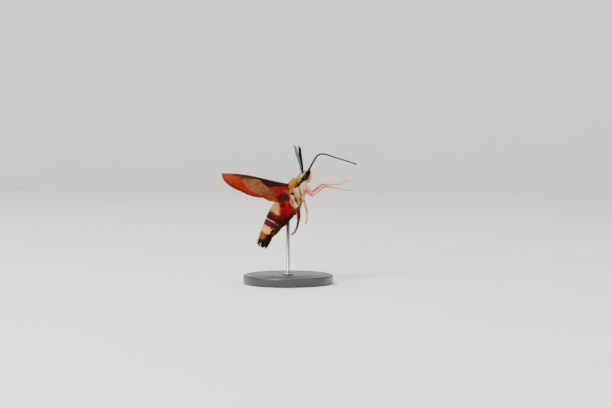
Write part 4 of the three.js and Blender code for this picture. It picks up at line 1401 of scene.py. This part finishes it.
class MOTH_OT_legs(bpy.types.Operator):
    """Makes the six legs, each one skin from thigh to claws, with its short scales"""

    bl_idname = "moth.legs"
    bl_label = "Legs"

    def execute(self, context):
        limbs, coat = context.scene.moth_limbs, context.scene.moth_coat
        thigh = lerp(np.array(coat.pale), np.array(coat.tan), 0.55)
        rng = np.random.default_rng(31)
        # Leg: satin chitin, smoother than the scales on it
        shell = coat_material("leg_chitin_satin", 0.5, 0.03, 0.3, 0.06)
        # Leg scales: short and flat, matte with a soft edge
        flat = coat_material("leg_scales_satin", 0.6, 0.05, 0.3, 0.05)

        def paint_thorn(places, share):
            return layered(limbs.dark_joint_and_shade, len(share), ())

        for name in LEG_JOINTS:
            surface, knee, ankle, extras = leg_parts(name)
            slot = "leg_dark" if name.startswith("hind") else "leg_scales"

            def paint(places, share):
                above = unit(from_middle(surface, places, share)) @ level(0, 0, 1)
                return leg_markings(name, share, above, knee, ankle, places, limbs, thigh)

            bm = bmesh.new()
            stretch_sphere(bm, surface, 14, 150, paint)
            for extra in extras:
                stretch_sphere(bm, extra, 8, 10, paint_thorn)
            nodes = [f"leg_{name}_{part}" for part in ("femur", "tibia", "tarsus")]
            add_piece("leg_" + name, mesh_of(bm, name), shell, slot, nodes)
            place, normal, along, share, turn = roots_on(surface, limbs.scale_count, rng)
            n = len(place)
            long = limbs.scale / MM * rng.normal(1, 0.15, n) * lerp(1.25, 0.7, smooth(knee, ankle, share))
            lean = rng.uniform(0.05, 0.2, n)
            way = unit(along + rng.normal(0, 0.12, (n, 3)))
            locks = {
                "root": place - normal * 0.03,
                "bend": place + long[:, None] * 0.5 * (way + normal * lean[:, None]),
                "tip": place + long[:, None] * (way + normal * lean[:, None] * 0.7),
                "upright": normal,
                "width": rng.uniform(0.1, 0.16, n),
                "thick": np.full(n, 0.025),
                "shade": varied(paint(place, share), rng, 0.1),
                "patch": np.stack([turn / (2 * np.pi) + 0.5, share], -1),
            }
            scales = f"leg_{name}_scales"
            add_piece(scales, grow(scales, **locks), flat, slot)
        return {"FINISHED"}


# Wings
def wing_markings(shape, edge, out, places, paints):
    """The scaled border's colours: dark base, red behind it, and a border that pales to the tip."""
    wander = 0.03 * rough(places, 1.6, 12) + 0.012 * rough(places, 0.4, 13)
    e, o = edge + wander, out + wander
    if shape is HINDWING:
        # the inner lobe: dark base colour, deepened as painted shade where it folds along the body
        dark_lobe_and_shade = smooth(0.45, 0.6, e + 0.25 * (0.7 - o))
        dark_lobe_and_shade = dark_lobe_and_shade * smooth(0.74, 0.64, o - 0.3 * smooth(0.6, 0.85, e))
        layers = (
            (paints.base_red, smooth(0.6, 0.35, o)),
            (paints.tip, 0.8 * smooth(0.78, 0.92, o) * smooth(0.35, 0.5, e)),
            (paints.base_dark, dark_lobe_and_shade),
            (paints.base_red, 0.2 * dark_lobe_and_shade),
        )
        return layered(paints.hind, len(edge), layers)
    inner = smooth(0.52, 0.4, o)
    front = smooth(0.13, 0.07, edge)
    outer_rim = smooth(0.92, 0.975, out) * smooth(0.25, 0.6, e)
    rear_rim = smooth(0.95, 0.985, edge) * smooth(0.3, 0.5, out)
    layers = (
        (paints.base_red, inner),
        (paints.base_dark, inner * smooth(0.52, 0.4, e + 0.3 * (0.35 - o))),
        (paints.costa, front),
        (paints.base_dark, front * smooth(0.56, 0.36, o)),
        (paints.tip, smooth(0.36, 0.02, e) * smooth(0.76, 0.9, o)),
        (paints.rim, 0.35 * smooth(0.5, 0.8, e) * smooth(0.35, 0.6, o)),
        (paints.rim, 0.7 * np.maximum(outer_rim, rear_rim)),
    )
    return layered(paints.border, len(edge), layers)


def wing_sheet(name, shape, side, paints, scaled):
    """The wing's scaled border, cut out round the window, or the window's own membrane."""
    bm = bmesh.new()
    bm.loops.layers.uv.new("OFBake")
    layer = bm.verts.layers.float_color.new("Coat")
    bmesh.ops.create_grid(bm, x_segments=84, y_segments=110, size=0.5, calc_uvs=True)
    verts = list(bm.verts)
    edge = np.array([v.co.x for v in verts]) + 0.5
    out = np.array([v.co.y for v in verts]) + 0.5
    bm.verts.index_update()
    window = in_window(shape, edge, out)
    if scaled:
        spare = [f for f in bm.faces if all(window[v.index] > 0 for v in f.verts)]
    else:
        spare = [f for f in bm.faces if all(window[v.index] < -0.012 for v in f.verts)]
    bmesh.ops.delete(bm, geom=spare, context="FACES")
    if scaled:
        for _ in range(5):  # the cut edge slides onto the window's outline
            value = in_window(shape, edge, out)
            step = 1e-4
            slope = np.stack(
                [
                    (in_window(shape, edge + step, out) - value) / step,
                    (in_window(shape, edge, out + step) - value) / step,
                ]
            )
            shift = np.where(window > 0, value / np.maximum((slope**2).sum(0), 1e-6), 0) * slope
            edge, out = np.clip(edge - shift[0], 0, 1), np.clip(out - shift[1], 0, 1)
    places = wing_surface(shape, side, edge, out)
    shades = wing_markings(shape, edge, out, places, paints)
    for i, vertex in enumerate(verts):
        if vertex.is_valid:
            vertex.co = world(places[i])
            vertex[layer] = (*shades[i], 1)
    mesh = bpy.data.meshes.new(name)
    bm.to_mesh(mesh)
    bm.free()
    mesh.shade_smooth()
    return mesh


def walled(piece, thickness):
    wall = piece.modifiers.new("Wall", "SOLIDIFY")
    wall.thickness = thickness
    wall.offset = 0


def vein_surface(shape, side, edge, start, end, sizes):
    out = np.linspace(start, end, 50)
    path = wing_surface(shape, side, np.full(50, edge), out)

    def radius(share, turn):
        size = lerp(sizes[0], sizes[1], share) * ends_closed(share, 0.01)
        return size, size * 0.8

    return limb_surface(path, radius, wing_frame()[2] * [1, side, 1])


class MOTH_OT_wings(bpy.types.Operator):
    """Makes the four wings: clear window, veins, scaled border and its scales"""

    bl_idname = "moth.wings"
    bl_label = "Wings"

    def execute(self, context):
        paints = context.scene.moth_wings
        rng = np.random.default_rng(41)
        membrane = 0.03 * MM
        # Wing scales: flat overlapping plates, satin
        scales_finish = coat_material("wing_scales_satin", 0.55, 0.03, 0.5, 0.08)
        # Vein: bare brown chitin tube, a little smoother than the scales
        vein_finish = two_tone_material(
            "vein_chitin",
            paints.vein,
            (0.7, 1.4),
            1.0,
            0.08,
            {"Roughness": 0.5, "IOR": 1.56, "Specular IOR Level": 0.15},
        )
        # Wing membrane: bare chitin film, see-through with a smoky tint
        clear = two_tone_material(
            "wing_membrane_chitin",
            paints.window,
            (0.85, 1.15),
            2.5,
            0.5,
            {"Roughness": 0.4, "IOR": 1.56, "Specular IOR Level": 0.1, "Alpha": paints.window_alpha},
            strength=0.06,
        )
        kinds = (
            ("forewing", FOREWING, paints.scale_count),
            ("hindwing", HINDWING, paints.scale_count // 2),
        )
        for kind, shape, count in kinds:
            for side_name, side in SIDES.items():
                wing = f"{kind}_{side_name}"
                sheet = wing_sheet(wing, shape, side, paints, True)
                border = add_piece(wing + "_border", sheet, scales_finish, "wing_scales", [wing])
                walled(border, paints.sheet)
                sheet = wing_sheet(wing, shape, side, paints, False)
                window = add_piece(wing + "_window", sheet, clear, "wing_scales")
                walled(window, membrane)
                self.veins(wing, shape, side, vein_finish)
                self.scales(wing, shape, side, count, paints, rng, scales_finish)
        return {"FINISHED"}

    def veins(self, wing, shape, side, finish):
        bm = bmesh.new()
        front_vein = vein_surface(shape, side, 0.006, 0.0, 0.98, shape["costa"])
        stretch_sphere(bm, front_vein, 10, 60)
        for edge, start in shape["veins"]:
            stretch_sphere(bm, vein_surface(shape, side, edge, start, 0.96, (0.1, 0.05)), 8, 50)
        first, last, at = shape["cell"]
        across = np.linspace(first, last, 40)
        bowed = at + 0.03 * np.sin(np.pi * (across - first) / (last - first) * 2)
        path = wing_surface(shape, side, across, bowed)

        def radius(share, turn):
            size = 0.07 * ends_closed(share, 0.05)
            return size, size

        stretch_sphere(bm, limb_surface(path, radius, wing_frame()[2] * [1, side, 1]), 8, 40)
        add_piece(wing + "_veins", mesh_of(bm, wing + "_veins"), finish, "wing_scales")

    def scales(self, wing, shape, side, count, paints, rng, finish):
        tries = 12 * count
        edge, out = rng.random(tries), rng.random(tries)
        fringe = rng.random(tries) < 0.1
        out = np.where(fringe, rng.uniform(0.975, 1.0, tries), out)
        step = 1e-3
        place = wing_surface(shape, side, edge, out)
        to_back = (wing_surface(shape, side, edge + step, out) - place) / step
        outwards = (wing_surface(shape, side, edge, out + step) - place) / step
        normal = np.cross(to_back, outwards)
        area = np.linalg.norm(normal, axis=1)
        chosen = rng.random(tries) * np.quantile(area, 0.99) < area  # evenly over the sheet
        chosen &= in_window(shape, edge, out) < 0.008
        chosen &= (out > 0.12) | (rng.random(tries) < 0.5)
        chosen = np.flatnonzero(chosen)[:count]
        n = len(chosen)
        place, normal, outwards, edge, out, fringe = (
            values[chosen] for values in (place, unit(normal), unit(outwards), edge, out, fringe)
        )
        face = np.where(rng.random(n) < 0.5, 1.0, -1.0)[:, None]
        normal = normal * face
        long = paints.scale / MM * rng.normal(1, 0.15, n) * np.where(fringe, 1.25, 1)
        way = unit(outwards + 0.1 * rng.normal(0, 1, (n, 3)))
        half_wall = paints.sheet / MM / 2
        base = place + normal * half_wall * 0.8
        lift = rng.uniform(0.03, 0.1, (n, 1))
        shade = wing_markings(shape, edge, out, place, paints)
        locks = {
            "root": base,
            "bend": base + long[:, None] * 0.5 * (way + normal * lift),
            "tip": base + long[:, None] * (way + normal * lift * 0.6),
            "upright": normal,
            "width": rng.uniform(0.13, 0.2, n),
            "thick": np.full(n, 0.02),
            "shade": varied(shade, rng, 0.1, 0.03),
            "patch": np.stack([edge * 0.48 + 0.5 * (face[:, 0] > 0) + 0.01, out], -1),
        }
        add_piece(wing + "_scales", grow(wing + "_scales", **locks), finish, "wing_scales")


# Stand: sizes in mm; foot is the radius of the collar at the rod's foot
BASE = {"radius": 15.0, "height": 3.0, "bead": 0.6}
ROD = {"radius": 0.6, "foot": 1.6, "foot_height": 1.2}


def spun(profile, name, steps=128):
    """A body of revolution about the stand's upright axis from [radius, height] in mm."""
    bm = bmesh.new()
    corners = [bm.verts.new((r * MM, 0, z * MM)) for r, z in profile]
    edges = [bm.edges.new(pair) for pair in zip(corners, corners[1:])]
    bmesh.ops.spin(
        bm,
        geom=corners + edges,
        cent=(0, 0, 0),
        axis=(0, 0, 1),
        angle=2 * math.pi,
        steps=steps,
        use_merge=True,
    )
    return mesh_of(bm, name)


class MOTH_OT_stand(bpy.types.Operator):
    """Makes the display stand: a painted disc and a brushed steel rod"""

    bl_idname = "moth.stand"
    bl_label = "Display stand"

    def execute(self, context):
        settings = context.scene.moth_stage
        r, h, bead = BASE["radius"], BASE["height"], BASE["bead"]
        quarter = np.linspace(math.pi / 2, 0, 9)
        chamfer = [(r - 0.4, 0), (r - 0.1, 0.12), (r, 0.4)]
        rounding = [(r - bead + bead * math.sin(a), h - bead + bead * math.cos(a)) for a in quarter]
        groove = [(r - 1.6, h), (r - 1.75, h - 0.08), (r - 1.9, h)]
        profile = [(0, 0), *chamfer, *rounding, *groove, (0, h)]
        # Powder-coated steel: satin black with a fine orange peel
        paint = two_tone_material(
            "powder_coated_steel",
            settings.paint,
            (0.9, 1.15),
            4.0,
            0.35,
            {"Roughness": 0.38, "IOR": 1.5, "Coat Weight": 0.15, "Coat Roughness": 0.25},
            strength=0.12,
        )
        add_piece("display_base", spun(profile, "display_base"), paint, "stand_base", ["stand_base"])
        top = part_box("stand_rod")[1].z / MM
        r, foot, tall = ROD["radius"], ROD["foot"], ROD["foot_height"]
        profile = [
            (0, h),
            (foot, h),
            (foot, h + 0.45 * tall),
            (foot - 0.2, h + 0.55 * tall),
            (r + 0.25, h + 0.8 * tall),
            (r, h + tall),
            (r, top),
            (0, top + 0.1),
        ]
        # Brushed stainless steel: fine rings round the rod from the lathe
        steel = two_tone_material(
            "brushed_stainless_steel",
            settings.steel,
            (0.85, 1.1),
            0.6,
            0.12,
            {"Roughness": 0.42, "Metallic": 1.0},
            stretch=(0.15, 0.15, 1),
            strength=0.05,
        )
        add_piece("display_rod", spun(profile, "display_rod", 48), steel, "stand_rod", ["stand_rod"])
        return {"FINISHED"}


# Stage: the floor's level radius, the radius of its bend and the backdrop's top in mm
FLOOR = {"level": 700, "bend": 250, "top": 450}
# The photo's view: its angles in degrees, distance in metres and the point in the middle in mm
VIEW = {"azimuth": -8.5, "elevation": 3.4, "distance": 0.595, "target": (6.05, 0, 26.49)}
# Lamps: place and width in metres, and power as a share of the key light's
LAMPS = {
    "key_light": ((-0.48, -0.42, 0.6), 0.3, 1.0),
    "fill_light": ((0.55, -0.45, 0.3), 0.5, 0.14),
    "top_light": ((-0.1, 0.2, 0.7), 0.4, 0.35),
}


class MOTH_OT_stage(bpy.types.Operator):
    """Sets the pale floor and backdrop, the soft lights and the camera"""

    bl_idname = "moth.stage"
    bl_label = "Stage"

    def execute(self, context):
        settings = context.scene.moth_stage
        flat, bend, top = FLOOR["level"], FLOOR["bend"], FLOOR["top"]
        quarter = np.linspace(0, math.pi / 2, 25)
        sweep = [(flat + bend * math.sin(a), bend * (1 - math.cos(a))) for a in quarter]
        # Matte paper backdrop: plain and pale with a faint tooth
        paper = two_tone_material(
            "matte_backdrop_paper",
            settings.floor,
            (0.985, 1.01),
            60,
            0.8,
            {"Roughness": 0.9, "Specular IOR Level": 0.2},
            strength=0.05,
        )
        mesh = spun([(0, 0), *sweep, (flat + bend, top)], "floor", 192)
        mesh.materials.append(paper)
        floor = bpy.data.objects.new("floor", mesh)
        context.scene.collection.objects.link(floor)
        floor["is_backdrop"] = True
        self.camera(context, settings)
        self.lights(context, settings)
        return {"FINISHED"}

    def camera(self, context, settings):
        azimuth, elevation = math.radians(VIEW["azimuth"]), math.radians(VIEW["elevation"])
        target = Vector(VIEW["target"]) * MM
        reach = math.cos(elevation)
        way = Vector((math.sin(azimuth) * reach, -math.cos(azimuth) * reach, math.sin(elevation)))
        camera = bpy.data.objects.new("camera", bpy.data.cameras.new("camera"))
        camera.data.lens = settings.lens
        camera.data.sensor_width = 36
        camera.data.clip_start = 0.01
        camera.location = target + way * VIEW["distance"]
        camera.rotation_euler = (-way).to_track_quat("-Z", "Y").to_euler()
        context.scene.collection.objects.link(camera)
        context.scene.camera = camera

    def lights(self, context, settings):
        target = Vector((0, 0, 0.03))  # the middle of the moth
        for name, (place, size, power) in LAMPS.items():
            lamp = bpy.data.lights.new(name, "AREA")
            lamp.energy = settings.key_power * power
            lamp.size = size
            holder = bpy.data.objects.new(name, lamp)
            holder.location = place
            holder.rotation_euler = (target - holder.location).to_track_quat("-Z", "Y").to_euler()
            context.scene.collection.objects.link(holder)
        studio = bpy.data.worlds.new("studio")
        studio.use_nodes = True
        background = studio.node_tree.nodes["Background"]
        background.inputs["Color"].default_value = (0.95, 0.97, 1, 1)
        background.inputs["Strength"].default_value = settings.sky
        context.scene.world = studio


class MOTH_PT_panel(bpy.types.Panel):
    bl_label = "Clearwing moth"
    bl_idname = "MOTH_PT_panel"
    bl_space_type = "VIEW_3D"
    bl_region_type = "UI"
    bl_category = "Moth"

    def draw(self, context):
        for operator in OPERATORS:
            self.layout.operator(operator.bl_idname)


SETTINGS = {
    "moth_coat": CoatSettings,
    "moth_wings": WingSettings,
    "moth_limbs": LimbSettings,
    "moth_stage": StageSettings,
}
OPERATORS = (
    MOTH_OT_skin,
    MOTH_OT_coat,
    MOTH_OT_tail,
    MOTH_OT_feelers,
    MOTH_OT_legs,
    MOTH_OT_wings,
    MOTH_OT_stand,
    MOTH_OT_stage,
)


def register():
    for group in SETTINGS.values():
        bpy.utils.register_class(group)
    for name, group in SETTINGS.items():
        setattr(bpy.types.Scene, name, bpy.props.PointerProperty(type=group))
    for made in (*OPERATORS, MOTH_PT_panel):
        bpy.utils.register_class(made)


def unregister():
    for made in reversed((*OPERATORS, MOTH_PT_panel)):
        bpy.utils.unregister_class(made)
    for name, group in SETTINGS.items():
        delattr(bpy.types.Scene, name)
        bpy.utils.unregister_class(group)


def main():
    register()
    bpy.ops.moth.skin()
    bpy.ops.moth.coat()
    bpy.ops.moth.tail()
    bpy.ops.moth.feelers()
    bpy.ops.moth.legs()
    bpy.ops.moth.wings()
    bpy.ops.moth.stand()
    bpy.ops.moth.stage()
    boxes = {"cad": cad_box, "visual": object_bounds()}
    {name: [list(corner) for corner in box] for name, box in boxes.items()}


if __name__ == "__main__":
    main()
